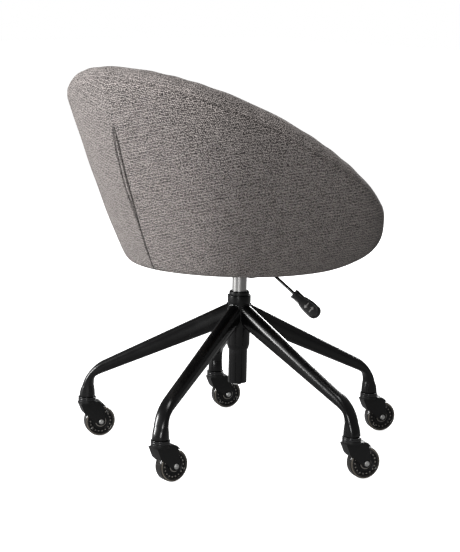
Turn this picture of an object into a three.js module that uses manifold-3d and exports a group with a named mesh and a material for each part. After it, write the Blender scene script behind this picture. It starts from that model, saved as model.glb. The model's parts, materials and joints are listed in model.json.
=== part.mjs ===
// Swivel tub chair on a five-arm castor base, in millimetres.
// The origin is on the floor under the column, +Z is up and the sitter faces -Y.
import * as THREE from 'three';
import { mergeVertices } from 'three/addons/utils/BufferGeometryUtils.js';
import Module from 'manifold-3d';

const wasm = await Module();
wasm.setup();

// ---- Driving dimensions -------------------------------------------------------------------

const GAP = 0.3; // clearance between two pieces that touch

// Base: a hub tube with five oval arms that bend down into vertical legs.
const ARM_COUNT = 5;
const FIRST_ARM_ANGLE = 180; // degrees, one arm lies under the lever
const HUB_WALL = 3.7;
const HUB_TOP = 298;
const HUB_BOTTOM = 193;
const HUB_COLLAR_HEIGHT = 14;
const HUB_COLLAR_STEP = 0.4; // how far the collar at the top stands out
const HUB_TAPER_HEIGHT = 7;
const HUB_SIDES = 20; // a multiple of the arm count, so every arm meets the same facets
const ARM_ROOT_DEPTH = 8; // how far an arm's edges are drawn on into the hub before it is cut
const ARM_TOP_AT_HUB = 281;
const ARM_BOTTOM_AT_HUB = 236;
const ARM_WIDTH = 27;
const ARM_SQUARENESS = 0.8; // power that makes a section's circle a squarish oval
const ARM_THICKNESS_AT_BEND = 23;
const BEND_REACH = 31.5; // from the start of the bend out to the leg's axis
const BEND_HEIGHT = 74; // from the leg's open end up to the arm's edge where the bend starts
const BEND_LEAD = 17; // how far the upper edge runs straight on into the bend
const LEG_RADIUS = 297.5; // from the column's axis to the leg's axis
const LEG_DIAMETER = 29.6;
const LEG_NECK_WIDTH = 21.5; // thickness just under the bend
const LEG_NECK_INSET = 2.4; // how far the neck's inner side lies in from the leg's
const LEG_NECK_RISE = 23; // from the leg's open end up to its neck
const LEG_LIP = 1.2; // chamfer round the leg's open end

// Castors: stems in the legs, moulded forks and single wheels.
const WHEEL_DIAMETER = 60;
const CASTOR_HEADROOM = 20; // from the top of the wheel up to the leg's open end
const WHEEL_WIDTH = 21;
const TYRE_THICKNESS = 7;
const WHEEL_HUB_RADIUS = 11;
const WHEEL_SIDES = 20; // the core and the tyre share their facets
const WEB_SET_BACK = 2.5; // how far the core's rim lies in from the wheel's faces
const AXLE_DIAMETER = 8;
const AXLE_HEAD_OVERHANG = 1;
const AXLE_HEAD_HEIGHT = 2.6;
const CASTOR_TRAIL = 25;
const FORK_CHEEK = 3;
const FORK_BOSS_RADIUS = 8.5; // round the axle
const FORK_TOP_DROP = 2.6; // how far the crown lies below the fork's collar
const WHEEL_SIDE_PLAY = 1.4;
const WHEEL_TOP_PLAY = 2;
const COLLAR_RADIUS = 17.5;
const COLLAR_THICKNESS = 6.4;
const STEM_RADIUS = 5.5;
const STEM_LENGTH = 30;
const PIVOT_RADIUS = 6;
const PIVOT_LENGTH = 16;
const CASTOR_YAWS = [-112, -116, -113, -115, -97]; // where each castor trails at rest, degrees

// Gas spring and its outer tube.
const STROKE = 90;
const OUTER_TUBE_WALL = 1.8;
const OUTER_TUBE_BOTTOM = 127;
const TUBE_FLOOR = 4;
const PRESSURE_RADIUS = 14;
const PRESSURE_WALL = 1.3;
const PRESSURE_TAPER = 0.8; // how much the radius drops over the taper at the top
const PRESSURE_TAPER_LENGTH = 22;
const PRESSURE_TOP = 354;
const PRESSURE_FLOOR = 5;
const ROD_RADIUS = 5;
const ROD_FOOT_LENGTH = 4; // how far the rod stands out below the outer tube
const CLIP_GROOVE = 1; // depth of the rod's groove for its clip
const PISTON_HEIGHT = 10;
const PISTON_RESERVE = 6; // travel left over the piston's seal at full height
const WASHER_THICKNESS = 1.6;
const CAGE_THICKNESS = 3;
const SHOULDER_HEIGHT = 5;
const BUMPER_HEIGHT = 4;
const BEARING_PLAY = 1.5; // between the bearing's rings and the rod and tube
const BUSH_WALL = 1.6;
const BUSH_FLANGE_OVERHANG = 1.4; // how far the flange stands out past the outer tube
const BUSH_CHAMFER = 1.5;
const BUSH_FLANGE_HEIGHT = 8;
const BUSH_LENGTH = 60;
const VALVE_RADIUS = 2.5;
const VALVE_STAND = 5; // how far the valve pin stands out of the gas spring
const VALVE_POCKET_DEPTH = 9;
const VALVE_SEAT = 8; // solid metal under the valve's pocket

// Seat plate: a pressed tray with a flange, the taper socket and the lever's bearings.
const PLATE_SHEET = 3;
const PLATE_LENGTH_X = 150;
const PLATE_LENGTH_Y = 200;
const TRAY_WIDTH_Y = 90;
const TRAY_DEPTH = 23.2;
const TRAY_HEADROOM = 14.2; // from the top of the gas spring to the tub's underside
const SOCKET_WALL = 5.7;
const SOCKET_LIP_WALL = 2.2;
const SOCKET_FLANGE = 7;
const SOCKET_LIP_DROP = 10.5; // how far the socket reaches below the tray
const SOCKET_RISE = 10; // how far it reaches above the tray's underside, clear of the lever
const EAR_GAP = 18; // between the two ears that carry the lever
const EAR_THICKNESS = 3;
const EAR_LENGTH = 14;
const BOLT_X = 55;
const BOLT_Y = 78;
const BOLT_RADIUS = 4;
const BOLT_HEAD_RADIUS = 6.5;
const BOLT_HEAD_HEIGHT = 5.3;

// Release lever: a bent rod that rocks in the tray, with a paddle handle.
const LEVER_ROD_RADIUS = 3;
const LEVER_PIVOT_X = -56;
const LEVER_BEND_X = -64;
const LEVER_SLOPE = 27.2; // degrees below the horizontal
const LEVER_REACH = 206; // tip of the handle, measured out from the column's axis
const HANDLE_LENGTH = 68;
const HANDLE_NECK_WIDTH = 17;
const HANDLE_NECK_LENGTH = 20;
const HANDLE_PADDLE_WIDTH = 26;
const HANDLE_THICKNESS = 10;
const HANDLE_ROLL = 62; // degrees, how far the paddle's flat is turned up on edge
const HANDLE_GRIP_DEPTH = 30; // how deep the rod sits in the handle

// Sizes that follow from the ones above, so that what fits together stays together.
const OUTER_TUBE_RADIUS = PRESSURE_RADIUS + BUSH_WALL + OUTER_TUBE_WALL + 2 * GAP;
const HUB_RADIUS = OUTER_TUBE_RADIUS + GAP + HUB_WALL;
const SOCKET_BORE = PRESSURE_RADIUS + GAP;
const LEG_END = WHEEL_DIAMETER + CASTOR_HEADROOM; // height of the leg's open end
const LEG_NECK_HEIGHT = LEG_END + LEG_NECK_RISE;
const ARM_TOP_AT_BEND = LEG_END + BEND_HEIGHT;
const UNDERSIDE = PRESSURE_TOP + TRAY_HEADROOM; // of the tub

// Tub: an upholstered bowl, low in front and high behind. Each value with four parts is
// mean + a cos(angle) + b cos(2 angle) + c cos(3 angle), the angle running from the front.
const SOLE_RADIUS = [201.7, -11.4, 0, 0]; // edge of the flat underside
const RIM_RADIUS = [295.9, -42.6, -1.8, 0]; // where the wall meets the rolled rim, outside
const RIM_HEIGHT = [551, -134.5, 25.4, 6.6];
const RIM_LEAN = [3.8, -24.2, -19.6, 0]; // degrees, outward
const SOLE_BULGE = [27.7, 11.2, 0, 0]; // fullness of the wall's curve at the sole
const RIM_BULGE = [53.4, 11.1, 0, 0]; // fullness of the wall's curve at the rim
const RIM_ROLL_RADIUS = 30.9;
const ROLL_SEAM_ANGLE = 30; // how far up the rolled rim its seam lies, degrees
const DECK_THICKNESS = 57; // from the underside up to the deck that the cushion lies on
const DECK_INSET = 25; // how much smaller the deck's radius is than the sole's
const COVER_DEPTH = 12; // foam and fabric outside the moulded shell
const SHELL_THICKNESS = 8;
const BOARD_RADIUS = 120;
const CUSHION_HEIGHT = 37;
const CUSHION_EDGE = 28; // height of the cushion's edge, where it meets the wall
const CUSHION_FLAT_RADIUS = 110;
const CUSHION_CLEARANCE = 2;
const TUB_SIDES = 30;
const SHELL_REACH = 0.92; // how far up the wall the moulded shell goes
const PAD_LAP = 0.95; // where the inner pad laps over the shell's edge
const SEAM_TUCK = 0.4; // how far the layers' edges are tucked in at the rim's seam
const ROLL_STEPS = 7;
const WALL_SHARES = [0, 0.14, 0.3, 0.52, 0.75, SHELL_REACH, PAD_LAP, 1];

/** Height of a layer's flat bottom, for a depth in from the outer surface. */
function flatLevel(depth) {
  return UNDERSIDE + (depth * DECK_THICKNESS) / Math.hypot(DECK_THICKNESS, DECK_INSET);
}

// ---- Geometry helpers ---------------------------------------------------------------------

const rad = THREE.MathUtils.degToRad;

/** Value of a four-part harmonic at an angle in radians. */
function harmonic([mean, a, b, c], angle) {
  return mean + a * Math.cos(angle) + b * Math.cos(2 * angle) + c * Math.cos(3 * angle);
}

/** Merges a geometry's shared vertices, drops empty triangles and turns its faces outward. */
function tidy(geometry) {
  geometry.deleteAttribute('normal');
  geometry.deleteAttribute('uv');
  const merged = mergeVertices(geometry, 1e-4);
  const position = merged.getAttribute('position');
  const corners = [0, 1, 2].map(() => new THREE.Vector3());
  const kept = [];
  let volume = 0;
  for (let i = 0; i < merged.index.count; i += 3) {
    const face = [0, 1, 2].map((k) => merged.index.getX(i + k));
    if (new Set(face).size < 3) continue;
    corners.forEach((corner, k) => corner.fromBufferAttribute(position, face[k]));
    volume += corners[0].dot(corners[1].clone().cross(corners[2]));
    kept.push(face);
  }
  merged.setIndex(kept.flatMap(([a, b, c]) => (volume > 0 ? [a, b, c] : [a, c, b])));
  return merged;
}

/** Turns a closed geometry into a manifold solid. */
function solid(geometry) {
  const closed = tidy(geometry);
  return new wasm.Manifold(new wasm.Mesh({
    numProp: 3,
    vertProperties: new Float32Array(closed.getAttribute('position').array),
    triVerts: new Uint32Array(closed.index.array),
  }));
}

/** Turns a manifold solid back into a geometry. */
function geometryOf(manifold) {
  const mesh = manifold.getMesh();
  const geometry = new THREE.BufferGeometry();
  geometry.setAttribute('position', new THREE.BufferAttribute(mesh.vertProperties, 3));
  geometry.setIndex(new THREE.BufferAttribute(mesh.triVerts, 1));
  return geometry;
}

/** Revolves [radius, height] points about Z. They start and end on the axis, or form a loop. */
function revolve(points, sides) {
  const onAxis = points[0][0] === 0;
  const outline = onAxis ? points : [...points, points[0]];
  const lathe = new THREE.LatheGeometry(outline.map(([r, z]) => new THREE.Vector2(r, z)), sides);
  return tidy(lathe.rotateX(Math.PI / 2));
}

/** A cylinder about Z between two heights. */
function rod(radius, bottom, top, sides) {
  return revolve([[0, bottom], [radius, bottom], [radius, top], [0, top]], sides);
}

/** A ring about Z between two radii and two heights. */
function ring(inner, outer, bottom, top, sides) {
  return revolve([[inner, bottom], [outer, bottom], [outer, top], [inner, top]], sides);
}

/** A cylinder lying along Y, centred at x and z. */
function crossRod(radius, halfLength, x, z, sides) {
  return rod(radius, -halfLength, halfLength, sides).rotateX(Math.PI / 2).translate(x, 0, z);
}

/** A box from its low corner to its high corner. */
function box(low, high) {
  const size = high.map((value, k) => value - low[k]);
  const middle = high.map((value, k) => (value + low[k]) / 2);
  return new THREE.BoxGeometry(...size).translate(...middle);
}

/** Skins rings of equal length with quads, and closes the two ends with fans. */
function loft(rings) {
  const sides = rings[0].length;
  const positions = rings.flat().flatMap((p) => [p.x, p.y, p.z]);
  const indices = [];
  for (let i = 0; i + 1 < rings.length; i += 1) {
    for (let j = 0; j < sides; j += 1) {
      const a = i * sides + j;
      const b = i * sides + (j + 1) % sides;
      indices.push(a, b, b + sides, a, b + sides, a + sides);
    }
  }
  [0, rings.length - 1].forEach((i) => {
    const centre = new THREE.Vector3();
    rings[i].forEach((p) => centre.addScaledVector(p, 1 / sides));
    const hub = positions.length / 3;
    positions.push(centre.x, centre.y, centre.z);
    for (let j = 0; j < sides; j += 1) {
      const pair = [i * sides + j, i * sides + (j + 1) % sides];
      indices.push(hub, ...(i === 0 ? pair.reverse() : pair));
    }
  });
  const geometry = new THREE.BufferGeometry();
  geometry.setAttribute('position', new THREE.Float32BufferAttribute(positions, 3));
  geometry.setIndex(indices);
  return tidy(geometry);
}

/**
 * Carries a section, which may change with the angle, once round Z from the front. Each quad is
 * split from its lower corner up to the next angle, so that nested skins have parallel facets.
 */
function sweepRound(section, sides) {
  const positions = [];
  const indices = [];
  const count = section(0).length;
  const onAxis = section(0)[0].x < 1e-6;
  for (let i = 0; i < sides; i += 1) {
    const angle = (i / sides) * 2 * Math.PI;
    section(angle).forEach((p) => {
      positions.push(-p.x * Math.sin(angle), -p.x * Math.cos(angle), p.y);
    });
    for (let j = 0; j < (onAxis ? count - 1 : count); j += 1) {
      const a = i * count + j;
      const b = i * count + (j + 1) % count;
      const next = ((i + 1) % sides - i) * count;
      const rises = positions[3 * b + 2] >= positions[3 * a + 2];
      if (rises) indices.push(a, b, b + next, a, b + next, a + next);
      else indices.push(a, b, a + next, b, b + next, a + next);
    }
  }
  const geometry = new THREE.BufferGeometry();
  geometry.setAttribute('position', new THREE.Float32BufferAttribute(positions, 3));
  geometry.setIndex(indices);
  return tidy(geometry);
}

// ---- Assembly -----------------------------------------------------------------------------

const chair = new THREE.Group();

/** Adds a named mesh to a group. */
function add(group, name, geometry, material) {
  const mesh = new THREE.Mesh(geometry, material.clone());
  mesh.name = name;
  group.add(mesh);
  return mesh;
}

const powderCoat = new THREE.MeshStandardMaterial({ color: 0x0b0b0c, roughness: 0.3, metalness: 0.3 });
const blackPlastic = new THREE.MeshStandardMaterial({ color: 0x0e0e0f, roughness: 0.5 });
const brushedSteel = new THREE.MeshStandardMaterial({ color: 0xa9a9ab, roughness: 0.35, metalness: 1 });
const blackSteel = new THREE.MeshStandardMaterial({ color: 0x161617, roughness: 0.35, metalness: 0.8 });
const zincSteel = new THREE.MeshStandardMaterial({ color: 0xc4c6c8, roughness: 0.25, metalness: 1 });
const smokedTyre = new THREE.MeshStandardMaterial({ color: 0x1c1b19, roughness: 0.2 });
const rubber = new THREE.MeshStandardMaterial({ color: 0x141414, roughness: 0.8 });
const moulding = new THREE.MeshStandardMaterial({ color: 0x2a2a2b, roughness: 0.6 });
const plywood = new THREE.MeshStandardMaterial({ color: 0x8a6a45, roughness: 0.7 });
const fabric = new THREE.MeshStandardMaterial({ color: 0x786f6b, roughness: 0.95 });

// ---- Base ---------------------------------------------------------------------------------

/** The hub: a turned tube, bored for the outer tube and chamfered below. */
function hubGeometry() {
  const bore = OUTER_TUBE_RADIUS + GAP;
  const taperTop = HUB_BOTTOM + HUB_TAPER_HEIGHT;
  const collarBottom = HUB_TOP - HUB_COLLAR_HEIGHT;
  return revolve([
    [bore, HUB_BOTTOM],
    [bore + 0.7, HUB_BOTTOM],
    [HUB_RADIUS - 0.6, taperTop],
    [HUB_RADIUS, taperTop + 2],
    [HUB_RADIUS, collarBottom],
    [HUB_RADIUS + HUB_COLLAR_STEP, collarBottom],
    [HUB_RADIUS + HUB_COLLAR_STEP, HUB_TOP],
    [bore, HUB_TOP],
  ], HUB_SIDES);
}

/** The arm's upper and lower edges as three curves each: the arm, the bend and the leg. */
function armRails() {
  const at = (x, y) => new THREE.Vector2(x, y);
  const start = HUB_RADIUS - ARM_ROOT_DEPTH;
  const bendX = LEG_RADIUS - BEND_REACH;
  const slope = (ARM_TOP_AT_HUB - ARM_TOP_AT_BEND) / (bendX - HUB_RADIUS);
  const lowBendX = bendX - ARM_THICKNESS_AT_BEND * 0.45;
  const lowBendZ = ARM_TOP_AT_BEND - ARM_THICKNESS_AT_BEND * 0.89;
  const lowSlope = (ARM_BOTTOM_AT_HUB - lowBendZ) / (lowBendX - HUB_RADIUS);
  const inner = LEG_RADIUS - LEG_DIAMETER / 2;
  const outer = LEG_RADIUS + LEG_DIAMETER / 2;
  const neckInner = inner + LEG_NECK_INSET;
  const neckOuter = neckInner + LEG_NECK_WIDTH;
  const cornerX = neckInner - 1.5;
  const cornerZ = lowBendZ - lowSlope * (cornerX - lowBendX);
  const top = [
    new THREE.LineCurve(at(start, ARM_TOP_AT_HUB + slope * ARM_ROOT_DEPTH), at(bendX, ARM_TOP_AT_BEND)),
    new THREE.CubicBezierCurve(
      at(bendX, ARM_TOP_AT_BEND),
      at(bendX + BEND_LEAD, ARM_TOP_AT_BEND - slope * BEND_LEAD),
      at(neckOuter - 6, LEG_NECK_HEIGHT + LEG_NECK_RISE),
      at(neckOuter, LEG_NECK_HEIGHT),
    ),
    new THREE.QuadraticBezierCurve(
      at(neckOuter, LEG_NECK_HEIGHT),
      at(outer, LEG_END + 12),
      at(outer, LEG_END + 3),
    ),
  ];
  const low = [
    new THREE.LineCurve(
      at(start, ARM_BOTTOM_AT_HUB + lowSlope * ARM_ROOT_DEPTH),
      at(lowBendX, lowBendZ),
    ),
    new THREE.CubicBezierCurve(
      at(lowBendX, lowBendZ),
      at(cornerX, cornerZ),
      at(neckInner, cornerZ),
      at(neckInner, LEG_NECK_HEIGHT),
    ),
    new THREE.QuadraticBezierCurve(
      at(neckInner, LEG_NECK_HEIGHT),
      at(inner, LEG_END + 14),
      at(inner, LEG_END + 3),
    ),
  ];
  return { top, low };
}

/** One arm along +X: an oval tube lofted between its edges, with a bore for the castor stem. */
function armGeometry() {
  const { top, low } = armRails();
  const stations = [[0, 0], [0, 1]];
  [0.25, 0.5, 0.75, 1].forEach((u) => stations.push([1, u]));
  [0.5, 1].forEach((u) => stations.push([2, u]));
  const sides = 12;
  const section = (upper, lower, width) => {
    const points = [];
    for (let j = 0; j < sides; j += 1) {
      const angle = (j / sides) * 2 * Math.PI;
      const squared = (value) => Math.sign(value) * Math.abs(value) ** ARM_SQUARENESS;
      const across = squared(Math.cos(angle)) * width / 2;
      const share = (1 + squared(Math.sin(angle))) / 2;
      points.push(new THREE.Vector3(
        lower.x + (upper.x - lower.x) * share,
        across,
        lower.y + (upper.y - lower.y) * share,
      ));
    }
    return points;
  };
  const rings = stations.map(([curve, u]) => {
    const width = curve < 2 ? ARM_WIDTH : ARM_WIDTH + (LEG_DIAMETER - ARM_WIDTH) * u;
    return section(top[curve].getPoint(u), low[curve].getPoint(u), width);
  });
  const lipRadius = LEG_DIAMETER / 2 - LEG_LIP;
  const edge = (side) => new THREE.Vector2(LEG_RADIUS + side * lipRadius, LEG_END);
  rings.push(section(edge(1), edge(-1), 2 * lipRadius));
  const boreTop = LEG_END + STEM_LENGTH + GAP;
  const bore = rod(STEM_RADIUS + GAP, LEG_END - 5, boreTop, 12).translate(LEG_RADIUS, 0, 0);
  const hubCut = rod(HUB_RADIUS + GAP, HUB_BOTTOM - 20, HUB_TOP + 20, HUB_SIDES);
  return geometryOf(solid(loft(rings))
    .intersect(solid(mitreWedge()))
    .subtract(solid(bore))
    .subtract(solid(hubCut)));
}

/** The wedge that one arm may fill, so that neighbours meet in a mitre at the hub. */
function mitreWedge() {
  const half = Math.PI / ARM_COUNT;
  const tip = GAP / 2 / Math.sin(half);
  const far = LEG_RADIUS + LEG_DIAMETER;
  const wedge = new THREE.Shape();
  wedge.moveTo(tip, 0);
  wedge.lineTo(far, -Math.tan(half) * (far - tip));
  wedge.lineTo(far, Math.tan(half) * (far - tip));
  return new THREE.ExtrudeGeometry(wedge, { depth: HUB_TOP + 40, bevelEnabled: false });
}

/** The outer tube of the gas spring: open above, with a drilled floor below. */
function outerTubeGeometry() {
  const inner = OUTER_TUBE_RADIUS - OUTER_TUBE_WALL;
  const hole = ROD_RADIUS + GAP;
  return revolve([
    [hole, OUTER_TUBE_BOTTOM],
    [OUTER_TUBE_RADIUS, OUTER_TUBE_BOTTOM],
    [OUTER_TUBE_RADIUS, HUB_TOP],
    [inner, HUB_TOP],
    [inner, OUTER_TUBE_BOTTOM + TUBE_FLOOR],
    [hole, OUTER_TUBE_BOTTOM + TUBE_FLOOR],
  ], HUB_SIDES);
}

/** The plastic bush that guides the pressure tube, with a flange on the outer tube's mouth. */
function guideBushGeometry() {
  const bore = PRESSURE_RADIUS + GAP;
  const sleeve = OUTER_TUBE_RADIUS - OUTER_TUBE_WALL - GAP;
  const seat = HUB_TOP + GAP;
  const flange = OUTER_TUBE_RADIUS + BUSH_FLANGE_OVERHANG;
  return revolve([
    [bore, HUB_TOP - BUSH_LENGTH],
    [sleeve, HUB_TOP - BUSH_LENGTH],
    [sleeve, seat],
    [flange, seat],
    [flange, seat + BUSH_FLANGE_HEIGHT - BUSH_CHAMFER],
    [flange - BUSH_CHAMFER, seat + BUSH_FLANGE_HEIGHT],
    [bore, seat + BUSH_FLANGE_HEIGHT],
  ], 20);
}

add(chair, 'hub', hubGeometry(), powderCoat);
add(chair, 'outer_tube', outerTubeGeometry(), powderCoat);
add(chair, 'guide_bush', guideBushGeometry(), blackPlastic);
for (let i = 0; i < ARM_COUNT; i += 1) {
  const arm = add(chair, `arm_${i + 1}`, armGeometry(), powderCoat);
  arm.rotation.z = rad(FIRST_ARM_ANGLE + (i * 360) / ARM_COUNT);
}

// ---- Thrust bearing, piston rod and pressure tube -----------------------------------------

const bearingFloor = OUTER_TUBE_BOTTOM + TUBE_FLOOR + GAP;
const cageBottom = bearingFloor + WASHER_THICKNESS + GAP;
const upperWasherBottom = cageBottom + CAGE_THICKNESS + GAP;
const shoulderBottom = upperWasherBottom + WASHER_THICKNESS + GAP;
const bumperBottom = shoulderBottom + SHOULDER_HEIGHT + GAP;
const pressureBottom = bumperBottom + BUMPER_HEIGHT + GAP;
const pistonBottom = pressureBottom + PRESSURE_FLOOR + STROKE + PISTON_RESERVE;
const boreInPressure = PRESSURE_RADIUS - PRESSURE_WALL;
const bearingInner = ROD_RADIUS + BEARING_PLAY;
const bearingOuter = OUTER_TUBE_RADIUS - OUTER_TUBE_WALL - BEARING_PLAY;
const clipThickness = 0.9;
const clipTop = OUTER_TUBE_BOTTOM - 2.6 - GAP;

/** The piston rod: it hangs on the bearing by its shoulder and carries the piston on top. */
function pistonRodGeometry() {
  const foot = OUTER_TUBE_BOTTOM - ROD_FOOT_LENGTH;
  const neck = ROD_RADIUS - CLIP_GROOVE;
  const shoulder = ROD_RADIUS + 4;
  const piston = boreInPressure - GAP;
  return revolve([
    [0, foot],
    [neck, foot],
    [neck, clipTop + GAP],
    [ROD_RADIUS, OUTER_TUBE_BOTTOM - GAP],
    [ROD_RADIUS, shoulderBottom],
    [shoulder, shoulderBottom],
    [shoulder, shoulderBottom + SHOULDER_HEIGHT],
    [ROD_RADIUS, shoulderBottom + SHOULDER_HEIGHT],
    [ROD_RADIUS, pistonBottom],
    [piston, pistonBottom],
    [piston, pistonBottom + PISTON_HEIGHT],
    [0, pistonBottom + PISTON_HEIGHT],
  ], 16);
}

/** The pressure tube: open round the rod below, tapered above, with a pocket for the valve. */
function pressureTubeGeometry() {
  const valvePocket = VALVE_RADIUS + GAP;
  const pocketFloor = PRESSURE_TOP - VALVE_POCKET_DEPTH;
  const boreTop = pocketFloor - VALVE_SEAT;
  const top = PRESSURE_RADIUS - PRESSURE_TAPER;
  return revolve([
    [0, pocketFloor],
    [valvePocket, pocketFloor],
    [valvePocket, PRESSURE_TOP],
    [top, PRESSURE_TOP],
    [PRESSURE_RADIUS, PRESSURE_TOP - PRESSURE_TAPER_LENGTH],
    [PRESSURE_RADIUS, pressureBottom],
    [ROD_RADIUS + GAP, pressureBottom],
    [ROD_RADIUS + GAP, pressureBottom + PRESSURE_FLOOR],
    [boreInPressure, pressureBottom + PRESSURE_FLOOR],
    [boreInPressure, boreTop],
    [0, boreTop],
  ], 20);
}

/** One flat ring of the thrust bearing. */
function bearingRing(bottom, thickness) {
  return ring(bearingInner, bearingOuter, bottom, bottom + thickness, 16);
}

add(chair, 'thrust_washer_lower', bearingRing(bearingFloor, WASHER_THICKNESS), zincSteel);
add(chair, 'thrust_cage', bearingRing(cageBottom, CAGE_THICKNESS), zincSteel);
add(chair, 'thrust_washer_upper', bearingRing(upperWasherBottom, WASHER_THICKNESS), zincSteel);
add(chair, 'piston_rod', pistonRodGeometry(), zincSteel);
add(chair, 'rod_clip', ring(ROD_RADIUS - CLIP_GROOVE + GAP, ROD_RADIUS + 3,
  clipTop - clipThickness, clipTop, 12), zincSteel);
add(chair, 'bump_stop', ring(ROD_RADIUS + GAP, ROD_RADIUS + 5, bumperBottom,
  bumperBottom + BUMPER_HEIGHT, 16), rubber);
add(chair, 'pressure_tube', pressureTubeGeometry(), brushedSteel);

// ---- Seat plate, taper socket, bolts and release lever ------------------------------------

const plateTop = UNDERSIDE - GAP;
const trayFloor = plateTop - TRAY_DEPTH;
const valveTop = PRESSURE_TOP + VALVE_STAND;
const leverZ = valveTop + GAP + LEVER_ROD_RADIUS;
const bearingRadius = LEVER_ROD_RADIUS + 0.2;
const earInner = EAR_GAP / 2;
const earOuter = earInner + EAR_THICKNESS;
const socketOutside = SOCKET_BORE + SOCKET_WALL;

/** The taper socket: it rises through the tray's floor and grips the gas spring's taper. */
function taperSocketGeometry() {
  const lip = trayFloor - SOCKET_LIP_DROP;
  const flange = trayFloor - GAP;
  const top = trayFloor + SOCKET_RISE;
  const lipOutside = SOCKET_BORE + SOCKET_LIP_WALL;
  return revolve([
    [SOCKET_BORE, lip],
    [lipOutside, lip],
    [lipOutside + 1, lip + 3],
    [socketOutside, flange - PLATE_SHEET],
    [socketOutside + SOCKET_FLANGE, flange - PLATE_SHEET],
    [socketOutside + SOCKET_FLANGE, flange],
    [socketOutside, flange],
    [socketOutside, top],
    [SOCKET_BORE, top],
  ], 20);
}

/** The seat plate: a flange and a tray below it, with the lever's two ears and its slot. */
function seatPlateGeometry() {
  const halfX = PLATE_LENGTH_X / 2;
  const halfY = PLATE_LENGTH_Y / 2;
  const trayY = TRAY_WIDTH_Y / 2;
  const ear = (side) => {
    const nearY = Math.min(side * earInner, side * earOuter);
    const farY = Math.max(side * earInner, side * earOuter);
    const low = [LEVER_PIVOT_X - EAR_LENGTH / 2, nearY, trayFloor + 1];
    const high = [LEVER_PIVOT_X + EAR_LENGTH / 2, farY, plateTop - GAP];
    return solid(box(low, high));
  };
  let plate = solid(box([-halfX, -halfY, plateTop - PLATE_SHEET], [halfX, halfY, plateTop]));
  plate = plate.add(solid(box([-halfX, -trayY, trayFloor], [halfX, trayY, plateTop - 1])));
  plate = plate.subtract(solid(box(
    [-halfX + PLATE_SHEET, -trayY + PLATE_SHEET, trayFloor + PLATE_SHEET],
    [halfX - PLATE_SHEET, trayY - PLATE_SHEET, plateTop + 1],
  )));
  plate = plate.add(ear(1)).add(ear(-1));
  const earHole = crossRod(bearingRadius + GAP, earOuter + 5, LEVER_PIVOT_X, leverZ, 12);
  plate = plate.subtract(solid(earHole));
  const socketHole = rod(socketOutside + GAP, trayFloor - 1, trayFloor + PLATE_SHEET + 5, 20);
  plate = plate.subtract(solid(socketHole));
  const slot = LEVER_ROD_RADIUS + 3;
  const wallX = -halfX + PLATE_SHEET / 2;
  const slotZ = leverZ + (wallX - LEVER_BEND_X) * Math.tan(rad(LEVER_SLOPE));
  plate = plate.subtract(solid(box([-halfX - 1, -slot, slotZ - slot], [-halfX + PLATE_SHEET + 1, slot,
    slotZ + slot + 1])));
  [[1, 1], [1, -1], [-1, 1], [-1, -1]].forEach(([sx, sy]) => {
    const hole = rod(BOLT_RADIUS + GAP, plateTop - 8, plateTop + 1, 8);
    plate = plate.subtract(solid(hole.translate(sx * BOLT_X, sy * BOLT_Y, 0)));
  });
  return geometryOf(plate);
}

/** A hexagon bolt that comes up through the flange into the mounting board. */
function boltGeometry() {
  const seat = plateTop - PLATE_SHEET - GAP;
  const head = rod(BOLT_HEAD_RADIUS, seat - BOLT_HEAD_HEIGHT, seat, 6);
  const shank = rod(BOLT_RADIUS, seat - 1, flatLevel(COVER_DEPTH) - 1.5, 8);
  return geometryOf(solid(head).add(solid(shank)));
}

/** The line of the lever rod: level over the valve, then sloping down to the handle. */
const leverDirection = new THREE.Vector3(-Math.cos(rad(LEVER_SLOPE)), 0, -Math.sin(rad(LEVER_SLOPE)));
const leverBend = new THREE.Vector3(LEVER_BEND_X, 0, leverZ);
const leverTip = leverBend.clone().addScaledVector(
  leverDirection,
  (LEVER_REACH + LEVER_BEND_X) / Math.cos(rad(LEVER_SLOPE)),
);
const handleStart = leverTip.clone().addScaledVector(leverDirection, -HANDLE_LENGTH);

/** The lever rod with its cross bar, which rocks in the tray's two ears. */
function leverRodGeometry() {
  const bendRadius = 9;
  const level = new THREE.Vector3(12, 0, leverZ);
  const path = new THREE.CurvePath();
  const before = leverBend.clone().add(new THREE.Vector3(bendRadius - 4, 0, 0));
  const after = leverBend.clone().addScaledVector(leverDirection, bendRadius - 4);
  const end = handleStart.clone().addScaledVector(leverDirection, HANDLE_GRIP_DEPTH - GAP);
  path.add(new THREE.LineCurve3(level, before));
  path.add(new THREE.QuadraticBezierCurve3(before, leverBend, after));
  path.add(new THREE.LineCurve3(after, end));
  const circle = new THREE.Shape().absarc(0, 0, LEVER_ROD_RADIUS, 0, 2 * Math.PI);
  const bar = new THREE.ExtrudeGeometry(circle, { steps: 14, curveSegments: 4, extrudePath: path });
  const cross = crossRod(bearingRadius, earOuter + 2, LEVER_PIVOT_X, leverZ, 12);
  return geometryOf(solid(bar).add(solid(cross)));
}

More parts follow.
